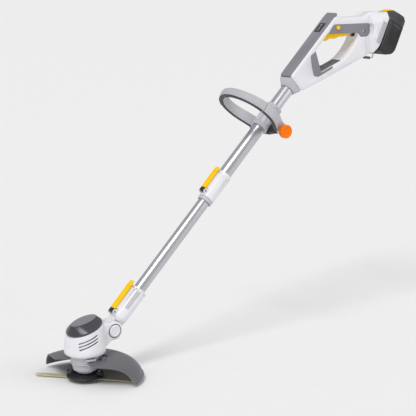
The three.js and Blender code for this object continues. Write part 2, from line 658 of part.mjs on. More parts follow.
function buildSocket() {
  const sleeve = turned([
    [0, SOCKET_START - 3.6], [12, SOCKET_START - 3.6], [SOCKET_RADIUS - 1, SOCKET_START + 3],
    [SOCKET_RADIUS, SOCKET_START + 8], [SOCKET_RADIUS, SOCKET_END - 3], [SOCKET_RADIUS - 1.5, SOCKET_END],
    [0, SOCKET_END],
  ]);
  const tongue = join(
    crossRod(KNUCKLE_RADIUS - 2, 0, 0, -TONGUE_HALF, TONGUE_HALF, ROUND),
    prism([[-15, 4], [-15, 30], [15, 30], [15, 4]], -TONGUE_HALF, TONGUE_HALF),
  );
  const bore = rod(LOWER_RADIUS + GAP, LOWER_START - GAP, SOCKET_END + 1, ROUND);
  const body = cut(
    join(sleeve, tongue, saddle(...LOW_PIN, 76)), bore, pinHoles(LOW_PIN),
    crossRod(PIVOT_PIN_RADIUS + GAP, 0, 0, -30, 30), flankGrooves(),
  );
  piece(shaft, 'swivel_socket', body, shellWhite());
  buildLever('head', LOW_PIN, 75);
}

// The shallow grooves down both flanks of the socket.
function flankGrooves() {
  const skin = tube(SOCKET_RADIUS - 1.4, 2 * SOCKET_RADIUS, 50, 92);
  return skin.intersect(block([-11.5, -30, 0], [-3.8, 30, 200]));
}

// ---------------------------------------------------------------- loop handle
// Middle line of the loop from its eye to the middle of its front, as [outwards, sideways].
const LOOP_PATH = [
  [-28, 39], [-12, 40.5], [6, 49.5], [26, 61], [48, 66], [72, 63.5], [96, 50], [113, 27], [119, 0],
];

// The loop's whole middle line, from one eye to the other.
function loopCurve() {
  const right = LOOP_PATH.map(([x, y]) => new THREE.Vector3(-x, y, 0));
  const left = [...right].reverse().slice(1).map(({ x, y }) => new THREE.Vector3(x, -y, 0));
  return new THREE.CatmullRomCurve3([...right, ...left]);
}

// The band narrows from the eyes towards the front of the loop.
const bandWidth = (t) => ARM_WIDTH - (ARM_WIDTH - NOSE_WIDTH) * Math.sin(Math.PI * t) ** 2;

// A strap along a stretch of the loop, its width lying along Z and its depth across the loop.
function strap(from, to, count, extraWidth, depth, corner) {
  const curve = loopCurve();
  const across = new THREE.Vector3(0, 0, 1);
  const rings = Array.from({ length: count + 1 }, (_, i) => {
    const t = from + (to - from) * i / count;
    const [w, d] = [(bandWidth(t) + extraWidth) / 2, depth / 2];
    const point = curve.getPointAt(t);
    const outwards = across.clone().cross(curve.getTangentAt(t));
    const section = ringOf([[-w, -d, corner], [w, -d, corner], [w, d, corner], [-w, d, corner]], 2);
    return section.map(({ x, y }) => point.clone().addScaledVector(across, x).addScaledVector(outwards, y));
  });
  return lofted(rings);
}

// A solid through rings of points, closed by a fan at each end.
function lofted(rings) {
  const size = rings[0].length;
  const last = size * (rings.length - 1);
  const index = [];
  for (let k = 0; k < last; k += size) {
    for (let i = 0; i < size; i += 1) {
      const next = (i + 1) % size;
      index.push(k + i, k + next, k + size + i, k + next, k + size + next, k + size + i);
    }
  }
  for (let i = 2; i < size; i += 1) index.push(0, i, i - 1, last, last + i - 1, last + i);
  const geometry = new THREE.BufferGeometry().setFromPoints(rings.flat());
  geometry.setIndex(index);
  return solidOf(geometry);
}

function buildLoop() {
  const seam = LOOP_SEAM;
  const spine = strap(0, 1, 26, -5, 6, 2);
  const arms = [strap(0, seam, 10, 0, 10, 3.5), strap(1 - seam, 1, 10, 0, 10, 3.5)];
  const bolt = new THREE.Vector3(BOLT_DROP, 0, BOLT_STATION).sub(loop.position);
  bolt.applyQuaternion(loop.quaternion.clone().invert());
  const boltHole = crossRod(CLAMP_BOLT_RADIUS + GAP, bolt.x, bolt.z, -80, 80);
  piece(loop, 'loop_frame', cut(join(spine, ...arms), boltHole), paleGrey());
  const cover = strap(seam + 0.004, 1 - seam - 0.004, 14, 1.4, 13, 5);
  const hollow = strap(0, 1, 26, 2 * GAP - 5, 6 + 2 * GAP, 2);
  piece(loop, 'loop_grip', cut(cover, hollow), softGrey());
}

function buildClamp() {
  const sleeve = tube(UPPER_RADIUS + GAP, 18.5, CLAMP_START, CLAMP_END);
  const under = block([14.5, -20, BOLT_STATION - 13], [40, 20, BOLT_STATION + 15]);
  piece(shaft, 'clamp_sleeve', cut(sleeve, under), paleGrey());
  const jawBlock = prism([
    [14.8, BOLT_STATION - 12.7], [24, BOLT_STATION - 12.7, 5], [27, BOLT_STATION, 4],
    [24, BOLT_STATION + 14.7, 5], [14.8, BOLT_STATION + 14.7],
  ], -16, 16, 1.5, 1);
  const neck = turned([
    [0, -STRAP_INNER + 0.6], [7.5, -STRAP_INNER + 0.6], [8, -28], [11, -15], [11, 15], [8, 28],
    [7.5, STRAP_INNER - 0.6], [0, STRAP_INNER - 0.6],
  ], 20).rotate([90, 0, 0]).translate([BOLT_DROP, 0, BOLT_STATION]);
  const clear = rod(UPPER_RADIUS + GAP, 400, 700, ROUND);
  const keepOff = cut(tube(10, 18.5 + GAP, CLAMP_START - GAP, CLAMP_END + GAP), under);
  const bolt = crossRod(CLAMP_BOLT_RADIUS + GAP, BOLT_DROP, BOLT_STATION, -60, 60);
  piece(shaft, 'clamp_jaw', cut(join(jawBlock, neck), clear, keepOff, bolt), blackPlastic());
  buildKnob();
}

function buildKnob() {
  const group = new THREE.Group();
  group.position.set(BOLT_DROP, 0, BOLT_STATION);
  shaft.add(group);
  const face = -65;
  const lobes = 8;
  const grip = turned([
    [0, face], [KNOB_RADIUS - 2.5, face], [KNOB_RADIUS, face + 2.5], [KNOB_RADIUS, face + 11],
    [9, face + 14.6], [0, face + 14.6],
  ], 24).rotate([-90, 0, 0]);
  const flutes = Array.from({ length: lobes }, (_, i) => {
    const angle = 2 * Math.PI * i / lobes;
    const reach = KNOB_RADIUS + 1.4;
    return crossRod(2.2, reach * Math.cos(angle), reach * Math.sin(angle), face + 3, face + 20, 6);
  });
  const bore = crossRod(CLAMP_BOLT_RADIUS + GAP, 0, 0, face + 6, -40);
  piece(group, 'clamp_knob', cut(grip, ...flutes, bore), orange());
  const shank = crossRod(CLAMP_BOLT_RADIUS, 0, 0, face + 6 + GAP, 49);
  const nut = crossRod(6, 0, 0, 48.6, 53, 6);
  piece(group, 'clamp_bolt', join(shank, nut), steel());
}

// ---------------------------------------------------------------- cutting head
function buildHousing() {
  const cup = turned([
    [0, HOUSING_BOTTOM - 18.5], [23, HOUSING_BOTTOM - 18.5], [23, HOUSING_BOTTOM - 1],
    [HOUSING_RADIUS - 6, HOUSING_BOTTOM], [HOUSING_RADIUS - 1, HOUSING_BOTTOM + 3],
    [HOUSING_RADIUS, HOUSING_BOTTOM + 9], [40, -14], [37.5, 12], [36, 40], [0, 40],
  ], 28);
  const armX = -SPINDLE_X;
  const arm = prism([
    [10, 26, 3], [armX - 8, 17.5, 8], [armX + 2, 17.5], [armX + 2, -17.5], [armX - 6, -18, 6],
    [armX - 22, -30, 6], [10, -36],
  ], -CHEEK_HALF, CHEEK_HALF, 3, 2);
  const knuckle = turned([
    [0, -CHEEK_HALF], [KNUCKLE_RADIUS - 2, -CHEEK_HALF], [KNUCKLE_RADIUS, -CHEEK_HALF + 2.4],
    [KNUCKLE_RADIUS, CHEEK_HALF - 2.4], [KNUCKLE_RADIUS - 2, CHEEK_HALF], [0, CHEEK_HALF],
  ]).rotate([90, 0, 0]).translate([armX, 0, 0]);
  const slope = turnY(block([-90, -90, 0], [90, 90, 90]), -CAP_SLOPE).translate([0, 0, CAP_HEIGHT]);
  const cavity = turned([
    [0, HOUSING_BOTTOM + 4], [37, HOUSING_BOTTOM + 4], [37, -14], [34.5, 12], [33, 60], [0, 60],
  ], 24);
  const slot = block([armX - 21, -TONGUE_HALF - 0.4, -60], [armX + 40, TONGUE_HALF + 0.4, 60]);
  const neckBore = rod(13, HOUSING_BOTTOM - 30, HOUSING_BOTTOM + 10, 20);
  const pivotBore = crossRod(PIVOT_PIN_RADIUS + GAP, armX, 0, -60, 60);
  const buttonSeat = crossRod(13.4, armX, 0, -40, -CHEEK_HALF + 7.8, ROUND);
  const cheeks = cut(join(arm, knuckle), rod(37.2, -60, 60, 30));
  const bores = [slot, neckBore, pivotBore, buttonSeat];
  const shell = cut(join(cut(cup, cavity, slope), cheeks), ...bores, ...ventSlots());
  piece(head, 'motor_housing', shell, shellWhite());
}

// Three slanted vent slots on each flank of the motor housing.
const VENT = { x: -11.5, halfLength: 20, halfHeight: 1.4, top: 2, pitch: 6.2, count: 3 };
function ventSlots() {
  const lean = CAP_SLOPE + 2;
  const sink = VENT.x * Math.tan(rad(CAP_SLOPE));
  const cutter = (side) => flankBlock(
    side, 22, 50, [-VENT.halfLength, VENT.halfLength], [-VENT.halfHeight, VENT.halfHeight]);
  return SIDES.flatMap((side) => Array.from({ length: VENT.count }, (_, i) =>
    at(turnY(cutter(side), -lean), VENT.x, 0, VENT.top - i * VENT.pitch + sink)));
}

// An upright plate with an oval outline.
const oval = ([halfLength, halfWidth], from, to, segments = 28) =>
  rod(1, from, to, segments).scale([halfLength, halfWidth, 1]);

const onSlope = (solid) => turnY(solid, -CAP_SLOPE).translate([0, 0, CAP_HEIGHT]);
const levelled = (solid) => turnY(solid, PLATE_LEAN).translate([1.5, 0, 0]);
const shrunk = (half, amount) => half.map((value) => value - amount);

function buildCap() {
  const { hull } = wasm.Manifold;
  const dome = hull([rod(CAP_RADIUS, 0.4, 4, 28), levelled(oval(PLATE_HALF, 12.6, 14.2))]);
  const hollow = hull([rod(CAP_RADIUS - 4, -1, 3, 24), levelled(oval(shrunk(PLATE_HALF, 5), 9.6, 11))]);
  const armClear = block([30, -CHEEK_HALF - GAP, -40], [90, CHEEK_HALF + GAP, 27]);
  piece(head, 'motor_cap', cut(onSlope(cut(dome, hollow)), armClear), capGrey());
  const plate = hull([oval(shrunk(PLATE_HALF, 1), 14.5, 15.4), oval(shrunk(PLATE_HALF, 3), 15.4, 16.6)]);
  piece(head, 'cap_plate', onSlope(levelled(plate)), darkGrey());
}

function buildPivot() {
  const armX = -SPINDLE_X;
  const pin = join(
    crossRod(PIVOT_PIN_RADIUS, armX, 0, -CHEEK_HALF + 8.2, CHEEK_HALF + 0.6),
    crossRod(7, armX, 0, CHEEK_HALF + 0.3, CHEEK_HALF + 2.2, 20),
  );
  piece(head, 'pivot_pin', pin, steel());
  const button = turned([
    [0, 0], [12.9, 0], [12.9, 4.6], [11.5, 6.4], [0, 7],
  ]).rotate([90, 0, 0]).translate([armX, -CHEEK_HALF + 4.6, 0]);
  piece(head, 'tilt_button', button, shellWhite());
}

function buildMotor() {
  const can = turned([
    [0, -32], [14, -32], [26, -30], [27, -28], [27, 4], [24, 6], [6, 6], [6, 9], [0, 9],
  ], 24);
  piece(head, 'motor', cut(can, rod(4 + GAP, -60, 0, SMALL_ROUND)), steel());
  const shaftRod = join(rod(4, -86, -1), rod(SPINDLE_THREAD, -92.5, -85));
  piece(head, 'drive_shaft', shaftRod, steel());
  piece(head, 'spindle_bearing', tube(4 + GAP, 12.6, -58, -50, 24), steel());
  const bell = turned([
    [0, HOUSING_BOTTOM - 19], [26, HOUSING_BOTTOM - 19], [26, -61], [24, -71.5], [17, -72.2], [17, -77], [0, -77],
  ]);
  piece(head, 'spindle_cover', cut(bell, rod(4.6, -90, -50)), paleGrey());
}

// Section of the guard from its collar out to the rim.
const GUARD_PROFILE = [
  [COLLAR_RADIUS + GAP, -47], [62, -48.5], [86, -53], [102, -61.5], [111.5, -73], [GUARD_RADIUS, -86],
  [GUARD_RADIUS - 3, -86.5], [108.6, -74.4], [100, -63.8], [85, -56], [62, -51.7], [COLLAR_RADIUS + GAP, -51],
];

const LUG_BEARING = 78;            // degrees the collar's clamping lug is set round

function buildGuard() {
  const dish = turned(GUARD_PROFILE, 44);
  const reach = GUARD_RADIUS + 2;
  const plan = [
    [16, -reach, 9], [reach, -reach], [reach, reach], [16, reach, 9], [-38, 47, 9], [-16, 17], [-16, -17],
    [-38, -47, 9],
  ];
  const keep = prism(plan, -20, 140).rotate([-90, 0, 0]);
  const slice = dish.intersect(keep);
  const collar = tube(23 + GAP, COLLAR_RADIUS - 0.2, HOUSING_BOTTOM - 18, HOUSING_BOTTOM - 1.4);
  const lug = block([-COLLAR_RADIUS - 9, -10, -46.6], [-COLLAR_RADIUS + 3, 10, HOUSING_BOTTOM - 2]);
  const ring = join(collar, cut(lug, rod(25, -90, 0)));
  piece(head, 'guard', slice.rotate([0, 0, GUARD_TURN]), darkGrey());
  piece(head, 'guard_collar', ring.rotate([0, 0, LUG_BEARING]), paleGrey());
}

function bladeFrame(index) {
  const angle = LUG_TURN + 180 * index;
  const group = new THREE.Group();
  group.rotation.z = rad(angle);
  head.add(group);
  return group;
}

const NUT_SEAT = DISC_BOTTOM + 0.5;   // floor of the shallow recess round the hub nut

function buildCutter() {
  const disc = turned([
    [0, DISC_TOP], [22, DISC_TOP], [34, DISC_TOP - 1.5], [DISC_RADIUS, DISC_TOP - 4.5],
    [DISC_RADIUS - 1, DISC_BOTTOM], [9, DISC_BOTTOM], [9, NUT_SEAT], [0, NUT_SEAT],
  ], 28);
  const lugs = [0, 180].map((turn) => {
    const boss = rod(8.5, DISC_BOTTOM, DISC_TOP + 4.5, 14).translate([LUG_RADIUS, 0, 0]);
    return boss.rotate([0, 0, LUG_TURN + turn]);
  });
  const bores = [0, 180].map((turn) =>
    rod(BLADE_PIN_RADIUS + GAP, -110, -60).translate([LUG_RADIUS, 0, 0]).rotate([0, 0, LUG_TURN + turn]));
  const hub = join(rod(4 + GAP, -86 - GAP, -60), rod(SPINDLE_THREAD + GAP, -110, -80));
  const body = cut(join(disc, ...lugs), ...bores, hub);
  piece(head, 'cutter_disc', body, blackPlastic());
  const nut = rod(6, -92, NUT_SEAT - GAP, 6);
  piece(head, 'hub_nut', cut(nut, rod(SPINDLE_THREAD + GAP, -110, -60)), steel());
  [0, 1].forEach((index) => {
    const group = bladeFrame(index);
    const name = index + 1;
    const pin = join(
      rod(BLADE_PIN_RADIUS, -93.4, DISC_TOP + 5),
      rod(4, -93.4, -91.6),
      rod(4.2, DISC_TOP + 4.8, DISC_TOP + 6.4),
    ).translate([LUG_RADIUS, 0, 0]);
    piece(group, `blade_pin_${name}`, pin, steel());
    piece(group, `cutting_blade_${name}`, bladeSolid().translate([LUG_RADIUS, 0, 0]), bladeAmber());
  });
}

// A flat plastic blade lying under the disc, its eye at the local origin, its tip outwards.
function bladeSolid() {
  const plan = [
    [-7, -7, 6], [20, -6.5, 4], [BLADE_REACH - 12, -8.5, 6], [BLADE_REACH, -3, 3], [BLADE_REACH - 3, 5, 3],
    [20, 5.5, 4], [-7, 7, 6],
  ];
  const plate = prism(plan, -1, 1).rotate([-90, 0, 0]).translate([0, 0, -89.6]);
  return cut(plate, rod(BLADE_PIN_RADIUS + GAP, -100, -80));
}

buildHandle();
buildHandlePads();
buildDockTrims();
buildScrews();
buildTrigger();
buildDock();
buildBattery();
buildHook();
buildTubes();
buildMiddleCoupling();
buildSocket();
buildLoop();
buildClamp();
buildHousing();
buildCap();
buildPivot();
buildMotor();
buildGuard();
buildCutter();

export default edger;
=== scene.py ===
"""Looks of the battery lawn edger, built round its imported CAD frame. Metres, +Z up."""

import json
import math

import bmesh
import bpy
from mathutils import Matrix, Vector, geometry


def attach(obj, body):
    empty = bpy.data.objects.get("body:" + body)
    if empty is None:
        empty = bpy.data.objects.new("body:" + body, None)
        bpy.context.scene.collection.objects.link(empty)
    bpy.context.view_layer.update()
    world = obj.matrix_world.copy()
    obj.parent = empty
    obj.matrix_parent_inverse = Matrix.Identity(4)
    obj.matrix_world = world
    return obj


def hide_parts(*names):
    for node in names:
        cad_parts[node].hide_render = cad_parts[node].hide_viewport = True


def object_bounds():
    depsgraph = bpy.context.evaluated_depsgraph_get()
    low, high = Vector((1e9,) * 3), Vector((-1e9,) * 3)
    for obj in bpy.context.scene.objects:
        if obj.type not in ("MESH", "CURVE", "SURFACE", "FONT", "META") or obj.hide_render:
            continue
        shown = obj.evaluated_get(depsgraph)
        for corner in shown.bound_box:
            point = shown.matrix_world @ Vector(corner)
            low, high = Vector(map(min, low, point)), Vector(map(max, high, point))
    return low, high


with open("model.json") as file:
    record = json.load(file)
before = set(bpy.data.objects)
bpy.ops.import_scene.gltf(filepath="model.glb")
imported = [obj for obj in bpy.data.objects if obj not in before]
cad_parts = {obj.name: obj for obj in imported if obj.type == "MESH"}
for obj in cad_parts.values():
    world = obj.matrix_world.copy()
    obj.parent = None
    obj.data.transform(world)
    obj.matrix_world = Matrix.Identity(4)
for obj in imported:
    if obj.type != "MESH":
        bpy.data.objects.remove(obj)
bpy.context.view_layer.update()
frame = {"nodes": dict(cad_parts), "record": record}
RECORD = frame["record"]
BODY_OF = {n: body for body, names in RECORD["behaviour"]["bodies"].items() for n in names}
SLOT_OF = {part["node"]: part["material_slot"] for part in RECORD["subparts"]}

# ------------------------------------------------------------ driving dimensions, millimetres
MM = 0.001
GAP = 0.3
ROUND = 72
SHAFT_PITCH = 44
PIVOT = (-630, -587)
UPPER_RADIUS, LOWER_RADIUS = 14, 12.5
UPPER_WALL, LOWER_WALL = 1.1, 1.2
UPPER_SPAN, LOWER_SPAN = (344, 734), (42, 430)
MOUTH = 668
STRIP_END, STRIP_HALF = 861.5, 16
PANEL_FROM, PANEL_TO, PANEL_HALF = 797, 823, 9
MID_START, MID_END, MID_RADIUS = 342, 410, 16.8
SOCKET_START, SOCKET_END, SOCKET_RADIUS = 24, 100, 18
HANDLE_HALF, HANDLE_ROUND = 20, 5
STRUT_TOP = 26
DOCK = (114, 5)
DOCK_LEAN = 25.8
DOCK_HALF = 34
PACK_HALF = 37
PACK_SEAM = 5
LOOP_STATION, LOOP_LEAN = 560, -8.5
LOOP_SEAM = 0.27
ARM_WIDTH, NOSE_WIDTH = 25, 17.5
BOLT_STATION, BOLT_DROP = 556, 18.6
CLAMP_START, CLAMP_END = 541, 601
STRAP_INNER = 33.8
KNOB_RADIUS = 14.5
KNOB_FACE = -65
SPINDLE_X = -60
HOUSING_RADIUS, HOUSING_BOTTOM = 42, -40
CAP_SLOPE, CAP_HEIGHT = 20, 13.7
CAP_RADIUS = 37.4
PLATE_HALF = (30, 19)
PLATE_LEAN = 6
COLLAR_RADIUS = 29
GUARD_RADIUS, GUARD_TURN = 117, 18
LUG_BEARING = 78
DISC_RADIUS, DISC_TOP, DISC_BOTTOM = 38, -79.5, -87.5
LUG_RADIUS, LUG_TURN = 29, -50
BLADE_REACH = 77
KNUCKLE_RADIUS, TONGUE_HALF, CHEEK_HALF = 19, 8, 19
MID_PIN, LOW_PIN = (350, 21), (30, 22.5)
LEVER_HALF = 6.6
LEVER_PIN_BORE, KNUCKLE_BORE, BOLT_BORE, BLADE_BORE = 2.1, 4.3, 3.3, 2.5
GUARD_SCREW_RING = 41
GUARD_SCREW_BEARINGS = (-78, -38, 38, 78)
FAR = 60
SIDES = (-1, 1)


# ------------------------------------------------------------ frames
def turn_y(degrees):
    return Matrix.Rotation(math.radians(degrees), 4, "Y")


LEVEL = Matrix.Identity(4)
SHAFT = Matrix.Translation((PIVOT[0], 0, PIVOT[1])) @ turn_y(90 - SHAFT_PITCH)
HEAD = Matrix.Translation((PIVOT[0] + SPINDLE_X, 0, PIVOT[1]))
DOCKED = Matrix.Translation((DOCK[0], 0, DOCK[1])) @ turn_y(DOCK_LEAN)
LOOP = SHAFT @ Matrix.Translation((0, 0, LOOP_STATION)) @ turn_y(LOOP_LEAN)


def on_shaft(station, height, r=0):
    p = SHAFT @ Vector((-height, 0, station))
    return (p.x, p.z, r)


def on_dock(out, up, r=0):
    p = DOCKED @ Vector((out, 0, up))
    return (p.x, p.z, r)


# ------------------------------------------------------------ solids, as bmesh in millimetres
def area_of(points):
    """The signed area of an outline, positive when it runs anticlockwise."""
    return sum(a[0] * b[1] - b[0] * a[1] for a, b in zip(points, points[1:] + points[:1])) / 2


def grown(points, amount):
    """Corner points (x, z, r) with every side moved outwards by an amount."""
    side = math.copysign(amount, area_of(points) * amount)
    out = []
    for i, point in enumerate(points):
        x, z = point[:2]
        r = point[2] if len(point) > 2 else 0
        before = (Vector((x, z)) - Vector(points[i - 1][:2])).normalized()
        after = (Vector(points[(i + 1) % len(points)][:2]) - Vector((x, z))).normalized()
        spread = 1 + before.dot(after)
        tangent = before.cross(after) / spread
        move = Vector((before.y + after.y, -before.x - after.x)) * (side / spread)
        out.append((x + move.x, z + move.y, max(r + side * tangent, 0.05) if r else 0))
    return out


def ring_of(points, arc):
    """The outline's own points, running anticlockwise, with its corners rounded."""
    ordered = list(points) if area_of(points) > 0 else list(reversed(points))
    ring = []
    for i, point in enumerate(ordered):
        corner = Vector(point[:2])
        r = point[2] if len(point) > 2 else 0
        if not r:
            ring.append(corner)
            continue
        before = Vector(ordered[i - 1][:2]) - corner
        after = Vector(ordered[(i + 1) % len(ordered)][:2]) - corner
        size = min(r, 0.49 * before.length, 0.49 * after.length)
        start, end = corner + before.normalized() * size, corner + after.normalized() * size
        for k in range(arc + 1):
            t = k / arc
            ring.append(start * (1 - t) ** 2 + corner * 2 * t * (1 - t) + end * t * t)
    return ring


def stitched(rows, faces):
    """A closed mesh from points and faces, with the doubles on its axis merged."""
    bm = bmesh.new()
    verts = [bm.verts.new(co) for co in rows]
    for face in faces:
        try:
            bm.faces.new([verts[i] for i in face])
        except ValueError:
            pass
    bmesh.ops.remove_doubles(bm, verts=bm.verts, dist=1e-4)
    bmesh.ops.recalc_face_normals(bm, faces=bm.faces)
    return bm


def prism(points, low, high, edge=0, steps=4, hole=None, arc=7):
    """A plate standing in the XZ plane between two Y values, with rounded edges."""
    quarter = [i * math.pi / 2 / steps for i in range(steps + 1)] if edge else [0]
    levels = [(low + edge * (1 - math.sin(a)), edge * (1 - math.cos(a))) for a in reversed(quarter)]
    levels += [(high - edge * (1 - math.sin(a)), edge * (1 - math.cos(a))) for a in quarter]
    rows, faces = [], []
    for y, inset in levels:
        outer = ring_of(grown(points, -inset), arc)
        inner = list(reversed(ring_of(grown(hole, inset), arc))) if hole else []
        rows += [(p.x, y, p.y) for p in outer + inner]
    per = len(rows) // len(levels)
    loops = [(0, len(outer))] + ([(len(outer), len(inner))] if hole else [])
    for k in range(len(levels) - 1):
        for start, count in loops:
            for i in range(count):
                a, b = k * per + start + i, k * per + start + (i + 1) % count
                faces.append((a, a + per, b + per, b))
    contours = [[Vector((*rows[start + i][::2], 0)) for i in range(count)] for start, count in loops]
    last = per * (len(levels) - 1)
    for triangle in geometry.tessellate_polygon(contours):
        faces.append(triangle)
        faces.append([last + i for i in reversed(triangle)])
    return stitched(rows, faces)


def turned(profile, segments=ROUND):
    """A piece turned about the Z axis from (radius, height) points."""
    closed = profile[0][0] > 0
    count = len(profile)
    rows = []
    for k in range(segments):
        angle = 2 * math.pi * k / segments
        rows += [(r * math.cos(angle), r * math.sin(angle), z) for r, z in profile]
    faces = []
    for k in range(segments):
        for i in range(count if closed else count - 1):
            j = (i + 1) % count
            a, b = k * count, (k + 1) % segments * count
            faces.append((a + i, a + j, b + j, b + i))
    return stitched(rows, faces)


def softened(profile, radius, steps=4):
    """The same turned profile with its off-axis corners rounded."""
    out = []
    for i, point in enumerate(profile):
        p = Vector(point)
        before = Vector(profile[i - 1]) - p
        after = Vector(profile[(i + 1) % len(profile)]) - p
        if p.x == 0 or min(before.length, after.length) < 1e-6:
            out.append(tuple(p))
            continue
        size = min(radius, 0.45 * before.length, 0.45 * after.length)
        start, end = p + before.normalized() * size, p + after.normalized() * size
        for k in range(steps + 1):
            t = k / steps
            out.append(tuple(start * (1 - t) ** 2 + p * 2 * t * (1 - t) + end * t * t))
    return out


def rod(radius, low, high, segments=32, edge=0):
    profile = [(0, low), (radius, low), (radius, high), (0, high)]
    return turned(softened(profile, edge, 3) if edge else profile, segments)


def pipe(inner, outer, low, high, segments=ROUND, edge=0):
    profile = [(inner, low), (outer, low), (outer, high), (inner, high)]
    return turned(softened(profile, edge, 3) if edge else profile, segments)


def moved(bm, matrix):
    bmesh.ops.transform(bm, matrix=matrix, verts=bm.verts)
    return bm


def shifted(bm, x, y, z):
    return moved(bm, Matrix.Translation((x, y, z)))


def laid(bm):
    """Turns the Z axis of a turned piece to -Y."""
    return moved(bm, Matrix.Rotation(math.pi / 2, 4, "X"))


def cross_rod(radius, x, z, low, high, segments=32, edge=0):
    return shifted(laid(rod(radius, -high, -low, segments, edge)), x, 0, z)


def hulled(*solids):
    """The skin stretched over several solids."""
    bm = together(*solids)
    result = bmesh.ops.convex_hull(bm, input=bm.verts, use_existing_faces=False)
    spare = set(result["geom_interior"]) | set(result["geom_unused"])
    bmesh.ops.delete(bm, geom=[v for v in spare if isinstance(v, bmesh.types.BMVert)], context="VERTS")
    hull = bmesh.new()
    kept = {f for f in result["geom"] if isinstance(f, bmesh.types.BMFace) and f.is_valid}
    index = {v: hull.verts.new(v.co) for v in {v for f in kept for v in f.verts}}
    for face in kept:
        hull.faces.new([index[v] for v in face.verts])
    bm.free()
    bmesh.ops.recalc_face_normals(hull, faces=hull.faces)
    bmesh.ops.dissolve_limit(hull, angle_limit=math.radians(1), verts=hull.verts, edges=hull.edges)
    return hull


def block(low, high, edge=0):
    x0, y0, z0 = low
    x1, y1, z1 = high
    return prism([(x0, z0, edge), (x1, z0, edge), (x1, z1, edge), (x0, z1, edge)], y0, y1, edge, 3, arc=3)


def swept(centre, widths, depths, across, corner=0.32, arc=5):
    """A rounded strap along centre points: its width lies along across, its depth across the path."""
    rows = []
    for i, point in enumerate(centre):
        ahead = centre[min(i + 1, len(centre) - 1)] - centre[max(i - 1, 0)]
        out = across.cross(ahead).normalized()
        w, d = widths[i] / 2, depths[i] / 2
        r = min(w, d) * 2 * corner
        section = ring_of([(-w, -d, r), (w, -d, r), (w, d, r), (-w, d, r)], arc)
        rows += [point + across * p.x + out * p.y for p in section]
    per = len(rows) // len(centre)
    faces = [tuple(range(per)), tuple(reversed(range(len(rows) - per, len(rows))))]
    for k in range(len(centre) - 1):
        for i in range(per):
            a, b = k * per + i, k * per + (i + 1) % per
            faces.append((a, b, b + per, a + per))
    return stitched(rows, faces)


# ------------------------------------------------------------ joining solids
def as_object(bm, name):
    mesh = bpy.data.meshes.new(name)
    bm.to_mesh(mesh)
    bm.free()
    obj = bpy.data.objects.new(name, mesh)
    bpy.context.scene.collection.objects.link(obj)
    return obj


def bake(obj):
    graph = bpy.context.evaluated_depsgraph_get()
    mesh = bpy.data.meshes.new_from_object(obj.evaluated_get(graph))
    old = obj.data
    obj.modifiers.clear()
    obj.data = mesh
    bpy.data.meshes.remove(old)


def combined(base, tools, operation):
    obj = as_object(base, "base")
    for tool in tools:
        other = as_object(tool, "tool")
        step = obj.modifiers.new("step", "BOOLEAN")
        step.operation = operation
        step.solver = "MANIFOLD"
        step.object = other
        bake(obj)
        bpy.data.objects.remove(other)
    bm = bmesh.new()
    bm.from_mesh(obj.data)
    bpy.data.objects.remove(obj)
    return bm


def cut(base, *tools):
    return combined(base, tools, "DIFFERENCE")


def join(base, *tools):
    return combined(base, tools, "UNION")


def keep(base, tool):
    return combined(base, [tool], "INTERSECT")


def together(*solids):
    """Several solids that don't touch, as one mesh."""
    first = solids[0]
    for other in solids[1:]:
        mesh = bpy.data.meshes.new("part")
        other.to_mesh(mesh)
        other.free()
        first.from_mesh(mesh)
        bpy.data.meshes.remove(mesh)
    return first


def show(bm, place, name, material, node=None, body=None, bevel=0.0, sharp=32):
    """Puts a solid in its place, gives it its material and lets it ride on its body."""
    moved(bm, Matrix.Scale(MM, 4) @ place)
    obj = as_object(bm, name)
    if bevel:
        edge = obj.modifiers.new("edge", "BEVEL")
        edge.width = bevel * MM
        edge.segments = 2
        edge.limit_method = "ANGLE"
        edge.angle_limit = math.radians(40)
        edge.harden_normals = True
        bake(obj)
    obj.data.shade_smooth()
    obj.data.set_sharp_from_angle(angle=math.radians(sharp))
    obj.data.materials.clear()
    obj.data.materials.append(material)
    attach(obj, body or BODY_OF[node])
    if node:
        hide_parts(node)


# ------------------------------------------------------------ materials
def linear(hexcode):
    parts = [int(hexcode[i:i + 2], 16) / 255 for i in (0, 2, 4)]
    return [c / 12.92 if c <= 0.04045 else ((c + 0.055) / 1.055) ** 2.4 for c in parts] + [1]


